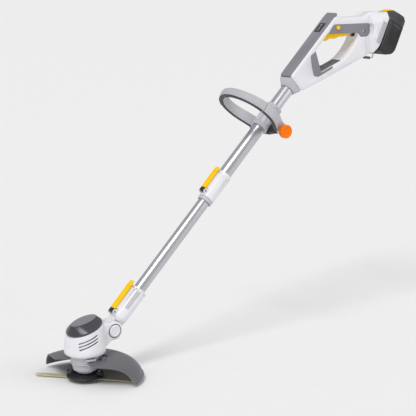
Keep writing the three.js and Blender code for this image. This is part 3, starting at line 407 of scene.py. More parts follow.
class Finish:
    """A procedural material on a Principled shader, laid on the object's own coordinates."""

    def __init__(self, name, colour, rough, metal=0.0, vary=0.05, grain=900, bump=0.08, stretch=None,
                 wear=0.25):
        self.material = bpy.data.materials.new(name)
        self.material.use_nodes = True
        self.tree = self.material.node_tree
        self.shader = self.tree.nodes["Principled BSDF"]
        self.shader.inputs["Metallic"].default_value = metal
        self.base = linear(colour)
        self.coordinates = self.tree.nodes.new("ShaderNodeTexCoord").outputs["Object"]
        if stretch:
            mapping = self.tree.nodes.new("ShaderNodeMapping")
            mapping.inputs["Rotation"].default_value = (0, math.radians(stretch[0]), 0)
            mapping.inputs["Scale"].default_value = stretch[1]
            self.tree.links.new(self.coordinates, mapping.inputs["Vector"])
            self.coordinates = mapping.outputs["Vector"]
        self.paint(vary, wear)
        self.gloss(rough)
        self.relief(grain, bump)

    def noise(self, scale, detail=4):
        node = self.tree.nodes.new("ShaderNodeTexNoise")
        node.inputs["Scale"].default_value = scale
        node.inputs["Detail"].default_value = detail
        self.tree.links.new(self.coordinates, node.inputs["Vector"])
        return node.outputs["Fac"]

    def ramp(self, value, low, high, start, end):
        node = self.tree.nodes.new("ShaderNodeMapRange")
        for key, number in (("From Min", low), ("From Max", high), ("To Min", start), ("To Max", end)):
            node.inputs[key].default_value = number
        self.tree.links.new(value, node.inputs["Value"])
        return node.outputs["Result"]

    def mix(self, factor, first, second):
        node = self.tree.nodes.new("ShaderNodeMix")
        node.data_type = "RGBA"
        self.tree.links.new(factor, node.inputs["Factor"])
        for socket, value in ((node.inputs["A"], first), (node.inputs["B"], second)):
            if isinstance(value, list):
                socket.default_value = value
            else:
                self.tree.links.new(value, socket)
        return node.outputs["Result"]

    def paint(self, vary, wear):
        lighter = [min(1, c * (1 + vary)) for c in self.base[:3]] + [1]
        darker = [c * (1 - vary) for c in self.base[:3]] + [1]
        mottled = self.mix(self.ramp(self.noise(14), 0.35, 0.65, 0, 1), darker, lighter)
        dust = [c * 0.8 for c in darker[:3]] + [1]
        speck = self.mix(self.ramp(self.noise(420, 2), 0.62, 0.8, 0, 0.5), mottled, dust)
        point = self.tree.nodes.new("ShaderNodeNewGeometry").outputs["Pointiness"]
        worn = [c + (1 - c) * 0.35 for c in self.base[:3]] + [1]
        edge = self.ramp(point, 0.53, 0.62, 0, wear)
        self.colour = self.mix(edge, speck, worn)
        self.tree.links.new(self.colour, self.shader.inputs["Base Color"])

    def gloss(self, rough):
        value = self.ramp(self.noise(55, 6), 0.3, 0.7, rough * 0.88, min(1, rough * 1.14))
        self.tree.links.new(value, self.shader.inputs["Roughness"])

    def relief(self, grain, bump):
        node = self.tree.nodes.new("ShaderNodeBump")
        node.inputs["Strength"].default_value = bump
        node.inputs["Distance"].default_value = 0.0004
        self.tree.links.new(self.noise(grain, 3), node.inputs["Height"])
        self.tree.links.new(node.outputs["Normal"], self.shader.inputs["Normal"])

    def set(self, **values):
        for key, value in values.items():
            self.shader.inputs[key.replace("_", " ")].default_value = value
        return self.material


def plain(name, colour, rough, metal=0.0, **choices):
    return Finish(name, colour, rough, metal, **choices).material


def finishes():
    """Every material of the object, by the name of its slot or of the detail that wears it."""
    along = (SHAFT_PITCH - 90, (1, 1, 0.02))
    faint = {"Specular_IOR_Level": 0.15}
    clear = {"Transmission_Weight": 0.5, "IOR": 1.5}
    return {
        "shell_white": plain("shell_white", "E6E5EA", 0.36, vary=0.02, grain=1400, bump=0.05, wear=0.1),
        "soft_grey": plain("soft_grey", "84828A", 0.72, vary=0.05, grain=1100, bump=0.35, wear=0.1),
        "plate_grey": plain("plate_grey", "7E7D84", 0.3, vary=0.04, grain=1200, bump=0.05, wear=0.2),
        "dark_grey": plain("dark_grey", "65646A", 0.42, vary=0.05, grain=900, bump=0.12, wear=0.2),
        "pale_grey": plain("pale_grey", "BDBCC2", 0.48, vary=0.03, grain=1200, bump=0.08, wear=0.15),
        "cap_grey": plain("cap_grey", "3E3D44", 0.3, vary=0.05, grain=1300, bump=0.05, wear=0.2),
        "black_plastic": plain("black_plastic", "212126", 0.5, vary=0.08, grain=1000, bump=0.15),
        "pack_black": plain("pack_black", "1C1C20", 0.5, vary=0.08, grain=1500, bump=0.4),
        "loop_soft": plain("loop_soft", "B6B5BB", 0.66, vary=0.04, grain=1100, bump=0.3, wear=0.1),
        "yellow": Finish("yellow", "FFCA00", 0.42, vary=0.03, grain=1200, bump=0.06, wear=0).set(**faint),
        "orange": Finish("orange", "FF7A00", 0.42, vary=0.03, grain=1200, bump=0.05, wear=0).set(**faint),
        "aluminium": plain("aluminium", "C4C4CA", 0.3, 0.9, vary=0.04, grain=1800, bump=0.12,
                           stretch=along, wear=0.1),
        "steel": plain("steel", "9FA1A8", 0.28, 0.95, vary=0.06, grain=1600, bump=0.1),
        "brass": plain("brass", "C9A04A", 0.3, 0.95, vary=0.06, grain=1600, bump=0.1),
        "board": plain("board", "1F5A38", 0.5, vary=0.08),
        "cells": plain("cells", "2F6F9A", 0.4, vary=0.05),
        "amber": Finish("amber", "F2E8C4", 0.3, vary=0.05, grain=800, bump=0.06).set(**clear),
    }


LOOK = finishes()
for node_name, node_object in frame["nodes"].items():
    node_object.data.materials.clear()
    node_object.data.materials.append(LOOK[SLOT_OF[node_name]])


def look(node):
    return LOOK[SLOT_OF[node]]


# ------------------------------------------------------------ handle
HANDLE_OUTLINE = [
    on_shaft(MOUTH, STRUT_TOP, 7), on_shaft(850, STRUT_TOP, 10), (-18, 18, 10), (50, 18, 8),
    (68, 28, 10), (95, 28, 10), on_dock(-0.6, 9.5, 8), on_dock(-0.6, -62, 9),
    (64, -68, 10), (-54, -111, 20), (-112, -130, 14), on_shaft(MOUTH, -21, 9),
]
WINDOW = [
    (-60, -17, 3), (-96, -52, 6), (-79, -100, 2), (-14, -75.5, 14), (7, -58, 10), (26, -37, 10),
    (33, -17, 3),
]
DOCK_OUTLINE = [
    (56, -24, 9), (68, 28, 12), (110, 27.5, 8), on_dock(-0.6, 24, 3), on_dock(-0.6, -62, 9), (62, -67, 10),
]
GRIP_PAD = [(-60, -17), (-46, 3, 8), (66, 3, 8), (66, -26, 18), (36, -26, 6), (33, -17)]
CORNER_PAD = [
    (-96.5, -53), (-112, -62, 5), (-108, -84, 4), (-102, -106, 6), (-88, -108.5, 5), (-46, -92, 3),
    (-45, -87.4, 1), (-79, -99.8, 2),
]
STRUT_PAD = [(-76, -101.2), (-77, -98), (-17, -75.3, 3), (-13.4, -77.5)]
STRUT_PAD_HALF = 14
TRIGGER_PIN = (48, -14)
LOCK_BUTTON = (-33, -4)
SCREWS = [(-90, -116.5), (82, 18.5), (62, -59)]
SCREW_SEAT = 12
TRIM_OUT = (-17, -3.5)
TRIM_UP = (-56, -4.5)
HOOK = (78, -60.5)


def flank(side, inner, outer, across, up, edge=0):
    """A block standing on one flank, between two distances from the mid plane."""
    low, high = sorted((side * inner, side * outer))
    return block([across[0], low, up[0]], [across[1], high, up[1]], edge)


def trim_seat(side):
    across = (TRIM_OUT[0] - GAP, TRIM_OUT[1] + GAP)
    up = (TRIM_UP[0] - GAP, TRIM_UP[1] + GAP)
    return moved(flank(side, DOCK_HALF - 3 - GAP, FAR, across, up), DOCKED)


def handle_hollow():
    inside = HANDLE_HALF - 6
    window_slot = [
        on_shaft(772, 4), on_shaft(790, 18, 2), on_shaft(812, 18, 2), (-44, -1.5), (36, -4), (58, -4, 4),
        (58, -26, 4), (30, -28), (30, -17), (-44, -20),
    ]
    return [
        prism([(-46, -12), (-31, 13, 4), (60, 13), (60, -12)], -inside, inside),
        prism([(40, -12), (36, -36, 6), (20, -56, 6), (58, -50, 6), (82, -44, 4), (102, -4, 4), (92, 10, 4),
               (44, 10)], -inside, inside),
        prism(window_slot, -7.5, 7.5),
    ]


def hook_ear(low):
    x, z = HOOK
    ear = [(x - 7, z - 1, 3), (x, z - 4, 4), (x + 4, z, 3), (x + 8, z + 14), (x - 8, z + 4)]
    return prism(ear, low, low + 4, 0.5)


def side_groove(side):
    """A shallow styling line low on each flank."""
    line = [(-62, -107.5), (14, -83), (14, -81.4), (-62, -105.6)]
    low, high = (-FAR, -HANDLE_HALF + 0.9) if side < 0 else (HANDLE_HALF - 0.9, FAR)
    return prism(line, low, high)


def plate_across(points, low, high):
    """A plate standing in the YZ plane between two X values."""
    return moved(prism(points, -high, -low, arc=10), Matrix.Rotation(math.pi / 2, 4, "Z"))


def dock_shoulders():
    """What the dock keeps of its full width: its front corners are cut away."""
    half = DOCK_HALF
    section = [(-half, -90), (half, -90), (half, 9, 8), (13, 30, 9), (-13, 30, 9), (-half, 9, 8)]
    return plate_across(section, 0, 150)


def build_shells():
    pad_depth = HANDLE_HALF - 3 - GAP
    body = join(
        prism(HANDLE_OUTLINE, -HANDLE_HALF, HANDLE_HALF, HANDLE_ROUND, 5, WINDOW, 10),
        keep(prism(DOCK_OUTLINE, -DOCK_HALF, DOCK_HALF, HANDLE_ROUND, 5, arc=10), dock_shoulders()),
        hook_ear(-17), hook_ear(13))
    tools = handle_hollow()
    for pad in (GRIP_PAD, CORNER_PAD):
        tools += [prism(grown(pad, GAP), -FAR, -pad_depth), prism(grown(pad, GAP), pad_depth, FAR)]
    tools.append(prism(grown(STRUT_PAD, GAP), -STRUT_PAD_HALF - GAP, STRUT_PAD_HALF + GAP))
    tools.append(moved(block([-60, -16.3, MOUTH - 20], [-22 + GAP, 16.3, 900]), SHAFT))
    tools.append(moved(rod(UPPER_RADIUS + GAP, 600, 735), SHAFT))
    tools.append(moved(block([-12, -25, -58], [4, 25, 2]), DOCKED))
    tools.append(cross_rod(5, *LOCK_BUTTON, -40, -10))
    tools += [cross_rod(5, *TRIGGER_PIN, -40, -16.6), cross_rod(5, *TRIGGER_PIN, 16.6, 40)]
    tools += [cross_rod(3.6, x, z, SCREW_SEAT - GAP, FAR) for x, z in SCREWS]
    tools += [trim_seat(-1), trim_seat(1), side_groove(-1), side_groove(1)]
    body = cut(body, *tools)
    room = 400
    other = body.copy()
    left = keep(body, block([-room, -room, -room], [room, -GAP / 2, room]))
    right = keep(other, block([-room, GAP / 2, -room], [room, room, room]))
    show(left, LEVEL, "shell_left", look("handle_shell_left"), "handle_shell_left", bevel=0.35)
    show(right, LEVEL, "shell_right", look("handle_shell_right"), "handle_shell_right", bevel=0.35)


def build_pads():
    depth, proud, edge = HANDLE_HALF - 3, HANDLE_HALF + 0.9, 2.2
    for side, word in ((-1, "left"), (1, "right")):
        low, high = (-proud, -depth) if side < 0 else (depth, proud)
        grip = cut(prism(GRIP_PAD, low, high, edge), cross_rod(5, *TRIGGER_PIN, -FAR, FAR))
        if side < 0:
            grip = cut(grip, cross_rod(5, *LOCK_BUTTON, -FAR, 0))
        show(grip, LEVEL, f"grip_{word}", look("grip_pad_left"), f"grip_pad_{word}")
        show(prism(CORNER_PAD, low, high, edge), LEVEL, f"corner_{word}", look("corner_pad_left"),
             f"corner_pad_{word}")
    band = cut(prism(STRUT_PAD, -STRUT_PAD_HALF, STRUT_PAD_HALF, 0.8), *strut_grooves())
    show(band, LEVEL, "strut_band", look("strut_pad"), "strut_pad")


def strut_grooves():
    """Fine grooves across the pad that lines the bottom of the window."""
    start, along, up = Vector((-77, -98)), Vector((0.9354, 0.3536)), Vector((-0.3536, 0.9354))
    count, pitch, width = 15, 4, 1.3
    half = STRUT_PAD_HALF - 1.5
    tools = []
    for i in range(count):
        foot = start + along * pitch * (i + 1)
        corners = [(0, -0.8), (width, -0.8), (width, 2), (0, 2)]
        tools.append(prism([tuple(foot + along * x + up * z) for x, z in corners], -half, half))
    return tools


def build_strip():
    top = [
        (-22, MOUTH + 0.5), (-28, MOUTH + 0.5, 3), (-29, MOUTH + 14, 5), (-29.4, 842, 8), (-28, 857, 8),
        (-22, 861, 1)]
    wide = PANEL_HALF + GAP
    pocket = block([-40, -wide, PANEL_FROM - GAP], [-27, wide, PANEL_TO + GAP])
    side = STRIP_HALF + 1
    corners = [(-side, MOUTH - 9), (side, MOUTH - 9), (side, STRIP_END, 16), (-side, STRIP_END, 16)]
    plan = plate_across(corners, -FAR, 0)
    strip = cut(keep(prism(top, -STRIP_HALF, STRIP_HALF, 2.6, 6), plan), pocket)
    show(strip, SHAFT, "strip", look("front_strip"), "front_strip", bevel=0.3)
    low, proud = -27 - GAP, -29.6
    face = [(low, PANEL_FROM), (proud, PANEL_FROM, 0.8), (proud, PANEL_TO, 0.8), (low, PANEL_TO)]
    panel = prism(face, -PANEL_HALF, PANEL_HALF, 0.8)
    show(panel, SHAFT, "panel", LOOK["black_plastic"], "display_panel")
    for i in range(3):
        station = PANEL_FROM + 4 * (i + 1)
        lamp = block([-29.9, -2.2, station], [-29.4, 2.2, station + 1.6], 0.2)
        show(lamp, SHAFT, f"lamp_{i}", LOOK["pale_grey"], body="handle")
    key = shifted(moved(rod(3.4, 0, 1.2, 32, 0.4), turn_y(-90)), -29.3, 0, PANEL_TO - 6.5)
    show(key, SHAFT, "power_key", LOOK["soft_grey"], body="handle")


def build_trims():
    ribs = 9
    pitch = (TRIM_UP[1] - TRIM_UP[0]) / ribs
    face = DOCK_HALF + 0.2
    for side, word in ((-1, "left"), (1, "right")):
        middles = [TRIM_UP[0] + (i + 0.5) * pitch for i in range(ribs)]
        bars = [flank(side, face - 1, face + 1, TRIM_OUT, (m - 1.6, m + 1.6), 0.5) for m in middles]
        trim = join(flank(side, DOCK_HALF - 3, face, TRIM_OUT, TRIM_UP, 0.3), *bars)
        show(trim, DOCKED, f"trim_{word}", look("dock_trim_left"), f"dock_trim_{word}")


def build_trigger():
    fingers = [
        (-60, -20, 3), (-61.5, -28, 5), (-55, -34, 6), (-42, -27.5, 8), (-27, -29.5, 7), (-13, -24.5, 7),
        (1, -25.5, 7), (20, -19, 6), (44, -18, 2), (51.5, -18, 3), (51.5, -10, 3), (44, -9.5),
        (-40, -9.5, 6),
    ]
    bar = cut(prism(fingers, -6.8, 6.8, 2.6, 5), cross_rod(2.3, *TRIGGER_PIN, -20, 20))
    show(bar, LEVEL, "trigger_bar", look("trigger"), "trigger")
    flange = cross_rod(6, *LOCK_BUTTON, -13.6, -11.2)
    button = join(cross_rod(4.6, *LOCK_BUTTON, -23.8, -12, edge=1), flange)
    show(button, LEVEL, "lock_button", look("lock_off_button"), "lock_off_button")


# ------------------------------------------------------------ battery
PACK_OUTLINE = [
    (0.3, -69, 4), (20, -72, 6), (40, -62, 6), (46, -50, 6), (46, PACK_SEAM + 20), (0.3, PACK_SEAM + 20),
]
HEAD_TOP = 38
LATCH_HALF = 8.5


def head_solid():
    """The pack head: full width at the back, its front corners cut away towards a narrow crown."""
    half, low = PACK_HALF, PACK_SEAM + 0.35
    slabs = [
        (0.3, half - 1.2, low + 1), (0.3, 13, 25), (2, half, low + 1), (26, half, 20), (25, 30, 31),
        (23, 10, HEAD_TOP), (42, half - 1, 22), (42, 29, 31), (39, 10, HEAD_TOP - 1.5),
        (45, half - 2.5, 18), (45, 28, 27), (45, 10, 31),
    ]
    return hulled(*[block([out, -wide, low], [out + 1, wide, top]) for out, wide, top in slabs])


def build_battery():
    half = PACK_HALF
    lower = block([-60, -60, -120], [80, 60, PACK_SEAM - 0.35])
    channel = [block([-1, -18.2, -90], [4.2, 18.2, 0]), block([3.3, -23.2, -90], [7.3, 23.2, 0])]
    side_panel = [(10, -58, 4), (36, -53, 4), (40, -46, 4), (40, 1.5, 3), (10, 1.5, 3)]
    panels = [prism(side_panel, -FAR, 1.2 - half), prism(side_panel, half - 1.2, FAR)]
    case = cut(keep(prism(PACK_OUTLINE, -half, half, 3.5, 5), lower), *channel, *panels)
    show(case, DOCKED, "pack_case", look("battery_case"), "battery_case", bevel=0.7)
    press = block([3.4, -LATCH_HALF - 0.4, 16], [20.6, LATCH_HALF + 0.4, 60])
    show(cut(head_solid(), press), DOCKED, "pack_head", look("battery_head"), "battery_head",
         bevel=2.2, sharp=20)
    bars = [flank(side, half - 1.5, half - 0.3, (15 + 5 * i, 16.6 + 5 * i), (-46, -8), 0.4)
            for side in SIDES for i in range(5)]
    frames = [flank(side, half - 1.3, half - 0.1, (11, 39), (-1.2, 0.4), 0.5) for side in SIDES]
    show(together(*bars), DOCKED, "pack_bars", look("battery_case"), body="battery")
    show(together(*frames), DOCKED, "pack_lines", LOOK["dark_grey"], body="battery")
    latch = prism([
        (4, 18.8), (4, 29, 1.5), (9, 33.5, 3), (17, 37.6, 3), (20, 37, 1.5), (20, 18.8)],
        -LATCH_HALF, LATCH_HALF, 1.6)
    grooves = [block([x, -6, 26.6 + 0.52 * x], [x + 0.9, 6, 60]) for x in (8, 10.8, 13.6)]
    show(cut(latch, *grooves), DOCKED, "latch_key", look("battery_latch"), "battery_latch")


# ------------------------------------------------------------ tubes and couplings
def build_tubes():
    upper = pipe(UPPER_RADIUS - UPPER_WALL, UPPER_RADIUS, *UPPER_SPAN, edge=0.4)
    show(upper, SHAFT, "tube_upper", look("upper_tube"), "upper_tube")
    lower = pipe(LOWER_RADIUS - LOWER_WALL, LOWER_RADIUS, *LOWER_SPAN, edge=0.4)
    show(lower, SHAFT, "tube_lower", look("lower_tube"), "lower_tube")
    mouth = block([-24, -17, MOUTH - 1.6], [19, 17, MOUTH - 0.6], 0.4)
    flare = hulled(rod(UPPER_RADIUS + 2.6, 652, 654, ROUND, 0.4), mouth)
    flare = cut(flare, rod(UPPER_RADIUS + GAP, 600, 700, ROUND))
    show(flare, SHAFT, "collar", look("tube_collar"), "tube_collar", bevel=0.5, sharp=40)


def lever_solid(length):
    side = [
        (1.4, -3.4, 2), (-3.4, -3.4, 2.5), (-4.6, 8, 4), (-5.4, length - 12, 8), (-4.4, length, 2),
        (-1.6, length, 1), (-1.2, length - 9, 4), (0.4, 8, 3), (2.8, 3, 1.5),
    ]
    bar = cut(prism(side, -LEVER_HALF, LEVER_HALF, 1.4), cross_rod(LEVER_PIN_BORE, 0, 0, -20, 20))
    grooves = [block([-9, -8, length - 7 - 3 * i], [-4.9, 8, length - 6 - 3 * i]) for i in range(4)]
    return cut(bar, *grooves)


def lever_bed(pin, length):
    """The raised bed that a closed lever lies on."""
    station, height = pin
    half = LEVER_HALF - 1
    return block([-height + 0.9, -half, station + 9], [-6, half, station + length - 8], 0.8)


def lever_ears(pin, clear):
    """The two ears that carry a lever's pin."""
    station, height = pin
    inner = LEVER_HALF + 0.5
    tip = -height - 3.4
    ear = [(-6, station - 7), (tip, station - 4, 4), (tip, station + 4, 4), (-6, station + 12)]
    solid = together(prism(ear, -inner - 2.6, -inner, 0.6), prism(ear, inner, inner + 2.6, 0.6))
    return cut(solid, cross_rod(LEVER_PIN_BORE, -height, station, -30, 30), clear)


def build_lever(word, pin, length, body):
    """A clamp lever with a dark cam at its root, and the pin's heads on the given body."""
    place = SHAFT @ Matrix.Translation((-pin[1], 0, pin[0]))
    node = f"{word}_lever"
    low, high = [-20, -20, -20], [20, 20, 5.5]
    flip = cut(lever_solid(length), block(low, high))
    cam = keep(lever_solid(length), block(low, high))
    dark = "black_plastic"
    show(flip, place, f"{word}_flip", look(node), node, bevel=0.25)
    show(cam, place, f"{word}_cam", LOOK[dark], body=BODY_OF[node], bevel=0.2)
    head = cross_rod(2.6, 0, 0, -LEVER_HALF - 4, LEVER_HALF + 4, 32, 0.5)
    bore = cross_rod(6, 0, 0, -LEVER_HALF - 3.2, LEVER_HALF + 3.2)
    show(cut(head, bore), place, f"{word}_pin_heads", LOOK["steel"], body=body)


def build_middle():
    sleeve = softened([(0, MID_START), (MID_RADIUS, MID_START), (MID_RADIUS, MID_END), (0, MID_END)], 1.6)
    solid = join(turned(sleeve), lever_bed(MID_PIN, 62))
    pin_bore = cross_rod(LEVER_PIN_BORE, -MID_PIN[1], MID_PIN[0], -30, 30)
    solid = cut(solid, rod(UPPER_RADIUS + GAP, 300, 500, ROUND), pin_bore)
    band = pipe(MID_RADIUS - 0.5, 40, MID_END - 9, MID_END - 7.8)
    ears = lever_ears(MID_PIN, rod(MID_RADIUS - 1, 300, 500, ROUND))
    show(join(cut(solid, band), ears), SHAFT, "coupling", look("mid_coupling"), "mid_coupling", bevel=0.3)
    ring = softened([(12.8, 334), (16, 334), (16, 341.7), (12.8, 341.7)], 1)
    show(turned(ring), SHAFT, "coupling_ring", look("mid_ring"), "mid_ring")
    build_lever("mid", MID_PIN, 60, "handle")


def build_socket():
    start = SOCKET_START
    profile = softened([
        (0, start - 3.6), (12, start - 3.6), (17, start + 3), (SOCKET_RADIUS, start + 9),
        (SOCKET_RADIUS, SOCKET_END), (0, SOCKET_END)], 1.6)
    tongue = [
        cross_rod(KNUCKLE_RADIUS - 2, 0, 0, -TONGUE_HALF, TONGUE_HALF, ROUND, 0.6),
        prism([(-15, 4), (-15, 30), (15, 30), (15, 4)], -TONGUE_HALF, TONGUE_HALF)]
    solid = join(turned(profile), *tongue, lever_bed(LOW_PIN, 76))
    ring = pipe(SOCKET_RADIUS - 1.4, 2 * SOCKET_RADIUS, 50, 92)
    groove = keep(ring, block([-11.5, -30, 0], [-3.8, 30, 200]))
    solid = cut(solid, rod(LOWER_RADIUS + GAP, 41.7, 120, ROUND), cross_rod(KNUCKLE_BORE, 0, 0, -30, 30),
                cross_rod(LEVER_PIN_BORE, -LOW_PIN[1], LOW_PIN[0], -30, 30), groove,
                pipe(SOCKET_RADIUS - 0.5, 40, SOCKET_END - 6, SOCKET_END - 4.8))
    ears = lever_ears(LOW_PIN, rod(SOCKET_RADIUS - 1, 0, 200, ROUND))
    show(join(solid, ears), SHAFT, "socket", look("swivel_socket"), "swivel_socket", bevel=0.3)
    skin = pipe(SOCKET_RADIUS - 1.2, SOCKET_RADIUS - 0.5, 50.4, 91.6)
    inlay = keep(skin, block([-11, -30, 0], [-4.3, 30, 200]))
    show(inlay, SHAFT, "socket_inlay", LOOK["pale_grey"], body="swivel")
    build_lever("head", LOW_PIN, 75, "swivel")


# ------------------------------------------------------------ loop handle
LOOP_PATH = [
    (-28, 39), (-12, 40.5), (6, 49.5), (25, 61), (45, 66), (68, 63.5), (90, 50), (106, 27), (112, 0),
]


def catmull(points, t):
    """A point of the smooth curve through the given points, t running 0 to 1."""
    last = len(points) - 1
    place = min(t * last, last - 1e-9)
    i = int(place)
    u = place - i
    p1, p2 = points[i], points[i + 1]
    p0 = points[i - 1] if i else p1 * 2 - p2
    p3 = points[i + 2] if i + 2 <= last else p2 * 2 - p1
    return 0.5 * (2 * p1 + (p2 - p0) * u + (2 * p0 - 5 * p1 + 4 * p2 - p3) * u * u
                  + (3 * p1 - p0 - 3 * p2 + p3) * u ** 3)


def loop_stretch(start, end, count):
    right = [Vector((-x, y, 0)) for x, y in LOOP_PATH]
    whole = right + [Vector((p.x, -p.y, 0)) for p in reversed(right[:-1])]
    fine = [catmull(whole, i / 400) for i in range(401)]
    lengths = [0]
    for a, b in zip(fine, fine[1:]):
        lengths.append(lengths[-1] + (b - a).length)
    out, k = [], 0
    for i in range(count + 1):
        target = lengths[-1] * (start + (end - start) * i / count)
        while k < 399 and lengths[k + 1] < target:
            k += 1
        u = (target - lengths[k]) / (lengths[k + 1] - lengths[k])
        out.append(fine[k].lerp(fine[k + 1], min(1, u)))
    return out


def band_width(t):
    """The band narrows from the eyes towards the front of the loop."""
    return ARM_WIDTH - (ARM_WIDTH - NOSE_WIDTH) * math.sin(math.pi * t) ** 2


def strap(start, end, extra, depth, count, corner):
    """A stretch of the band, between two shares of the loop's length."""
    centre = loop_stretch(start, end, count)
    shares = [start + (end - start) * i / count for i in range(count + 1)]
    widths = [band_width(t) + extra for t in shares]
    return swept(centre, widths, [depth] * (count + 1), Vector((0, 0, 1)), corner)


def edge_line(start, end, depth, count):
    """The thin dark welt let into the lower edge of the band."""
    base = loop_stretch(start, end, count)
    shares = [start + (end - start) * i / count for i in range(count + 1)]
    centre = [p + Vector((0, 0, -band_width(t) / 2 - 0.2)) for p, t in zip(base, shares)]
    return swept(centre, [2.0] * (count + 1), [depth] * (count + 1), Vector((0, 0, 1)), 0.3)


def build_loop():
    bolt = LOOP.inverted() @ SHAFT @ Vector((BOLT_DROP, 0, BOLT_STATION))
    bolt_hole = cross_rod(BOLT_BORE, bolt.x, bolt.z, -80, 80)
    seam = LOOP_SEAM
    arms = [strap(0, seam, 0, 10, 40, 0.42), strap(1 - seam, 1, 0, 10, 40, 0.42)]
    spine = strap(0, 1, -5, 6, 120, 0.3)
    show(cut(join(spine, *arms), bolt_hole), LOOP, "loop_arms", look("loop_frame"), "loop_frame", sharp=50)
    core = strap(0, 1, -4.4, 6.6, 120, 0.3)
    cover = cut(strap(seam + 0.003, 1 - seam - 0.003, 1.4, 13, 70, 0.48), core)
    show(cover, LOOP, "loop_cover", LOOK["loop_soft"], "loop_grip", sharp=50)
    welts = [edge_line(0.055, seam, 7.5, 36), edge_line(seam + 0.006, 0.994 - seam, 9.5, 60),
             edge_line(1 - seam, 0.945, 7.5, 36)]
    show(together(*welts), LOOP, "loop_welt", LOOK["black_plastic"], body="loop")


def build_clamp():
    station = BOLT_STATION
    low, high = [14.5, -20, station - 13], [40, 20, station + 15]
    inner, outer = 14.3, 18.5
    corners = [(inner, CLAMP_START), (outer, CLAMP_START), (outer, CLAMP_END), (inner, CLAMP_END)]
    sleeve = softened(corners, 1.2)
    bands = [pipe(outer - 0.5, 40, z, z + 1.2) for z in (CLAMP_START + 8, CLAMP_END - 9)]
    clamp = cut(turned(sleeve), block(low, high), *bands)
    show(clamp, SHAFT, "clamp", look("clamp_sleeve"), "clamp_sleeve", bevel=0.3)
    jaw = prism([(14.8, station - 12.7), (24, station - 12.7, 5), (27, station, 4), (24, station + 14.7, 5),
                 (14.8, station + 14.7)], -16, 16, 1.5)
    end = STRAP_INNER - 0.6
    half_neck = [(7.5, -end), (8, -28), (11, -15)]
    mirrored = [(r, -z) for r, z in reversed(half_neck)]
    neck = softened([(0, -end), *half_neck, *mirrored, (0, end)], 1)
    neck = shifted(laid(turned(neck, 48)), BOLT_DROP, 0, station)
    clear = [rod(UPPER_RADIUS + GAP, 400, 700, ROUND), cross_rod(BOLT_BORE, BOLT_DROP, station, -FAR, FAR)]
    keep_off = cut(pipe(10, outer + GAP, CLAMP_START - GAP, CLAMP_END + GAP), block(low, high))
    show(cut(join(jaw, neck), *clear, keep_off), SHAFT, "jaw", look("clamp_jaw"), "clamp_jaw", bevel=0.3)
    build_knob()


def build_knob():
    place = SHAFT @ Matrix.Translation((BOLT_DROP, 0, BOLT_STATION))
    face, radius = KNOB_FACE, KNOB_RADIUS
    profile = softened([
        (0, face + 1.2), (9.5, face + 1.2), (10.5, face), (radius, face), (radius, face + 11),
        (9, face + 14.6), (0, face + 14.6)], 1.8)
    grip = moved(turned(profile), Matrix.Rotation(-math.pi / 2, 4, "X"))
    count, reach = 12, radius + 1.2
    flutes = []
    for i in range(count):
        angle = 2 * math.pi * i / count
        x, z = reach * math.cos(angle), reach * math.sin(angle)
        flutes.append(cross_rod(2.1, x, z, face + 2.5, face + 30, 16))
    bore = cross_rod(BOLT_BORE, 0, 0, face + 6, -40)
    show(cut(grip, *flutes, bore), place, "knob", look("clamp_knob"), "clamp_knob", bevel=0.3)


# ------------------------------------------------------------ cutting head
def sloped(bm):
    """Set on the sloping joint between the housing and its cap."""
    return moved(bm, Matrix.Translation((0, 0, CAP_HEIGHT)) @ turn_y(-CAP_SLOPE))


def vent_tools():
    """Three slots on each flank, side by side along the cap's slope."""
    drop = math.tan(math.radians(CAP_SLOPE))
    middle, length, thick = -11.5, 20, 1.5
    slot = [(-length, -thick, 1.4), (length, -thick, 1.4), (length, thick, 1.4), (-length, thick, 1.4)]
    tools = []
    for low in (-50, 22):
        for height in (2, -4.2, -10.4):
            place = Matrix.Translation((middle, 0, height + middle * drop)) @ turn_y(-CAP_SLOPE - 2)
            tools.append(moved(prism(slot, low, low + 28), place))
    return tools


def build_housing():
    bottom, radius = HOUSING_BOTTOM, HOUSING_RADIUS
    cup = turned(softened([
        (0, bottom - 18.5), (23, bottom - 18.5), (23, bottom - 1), (radius - 6, bottom),
        (radius - 1, bottom + 3), (radius, bottom + 9), (40, -14), (37.5, 12), (36, 40), (0, 40)], 3))
    cavity = turned([
        (0, bottom + 4), (37, bottom + 4), (37, -14), (34.5, 12), (33, 60), (0, 60)])
    arm_x = -SPINDLE_X
    arm = prism([
        (10, 26, 3), (arm_x - 8, 17.5, 8), (arm_x + 2, 17.5), (arm_x + 2, -17.5), (arm_x - 6, -18, 6),
        (arm_x - 22, -30, 6), (10, -36)], -CHEEK_HALF, CHEEK_HALF, 3, 4)
    half = CHEEK_HALF
    knuckle = [(0, -half), (KNUCKLE_RADIUS, -half), (KNUCKLE_RADIUS, half), (0, half)]
    knuckle = shifted(laid(turned(softened(knuckle, 3))), arm_x, 0, 0)
    cheeks = cut(join(arm, knuckle), rod(37.2, -FAR, FAR, ROUND))
    slope = sloped(block([-90, -90, 0], [90, 90, 90]))
    shell = join(cut(cup, cavity, slope), cheeks)
    slot = block([arm_x - 21, -TONGUE_HALF - 0.4, -FAR], [arm_x + 40, TONGUE_HALF + 0.4, FAR])
    seat = cross_rod(14.5, arm_x, 0, -40, -CHEEK_HALF + 7.8, ROUND)
    neck_bore = rod(13, bottom - 30, bottom + 10)
    pin_bore = cross_rod(KNUCKLE_BORE, arm_x, 0, -FAR, FAR)
    shell = cut(shell, slot, neck_bore, pin_bore, seat, *vent_tools())
    show(shell, HEAD, "housing", look("motor_housing"), "motor_housing", bevel=0.4)


def oval(half, low, high):
    """A flat oval plate of the given half length and half width."""
    profile = [(0, low), (1, low), (1, high), (0, high)]
    return moved(turned(profile, 96), Matrix.Diagonal((half[0], half[1], 1, 1)))


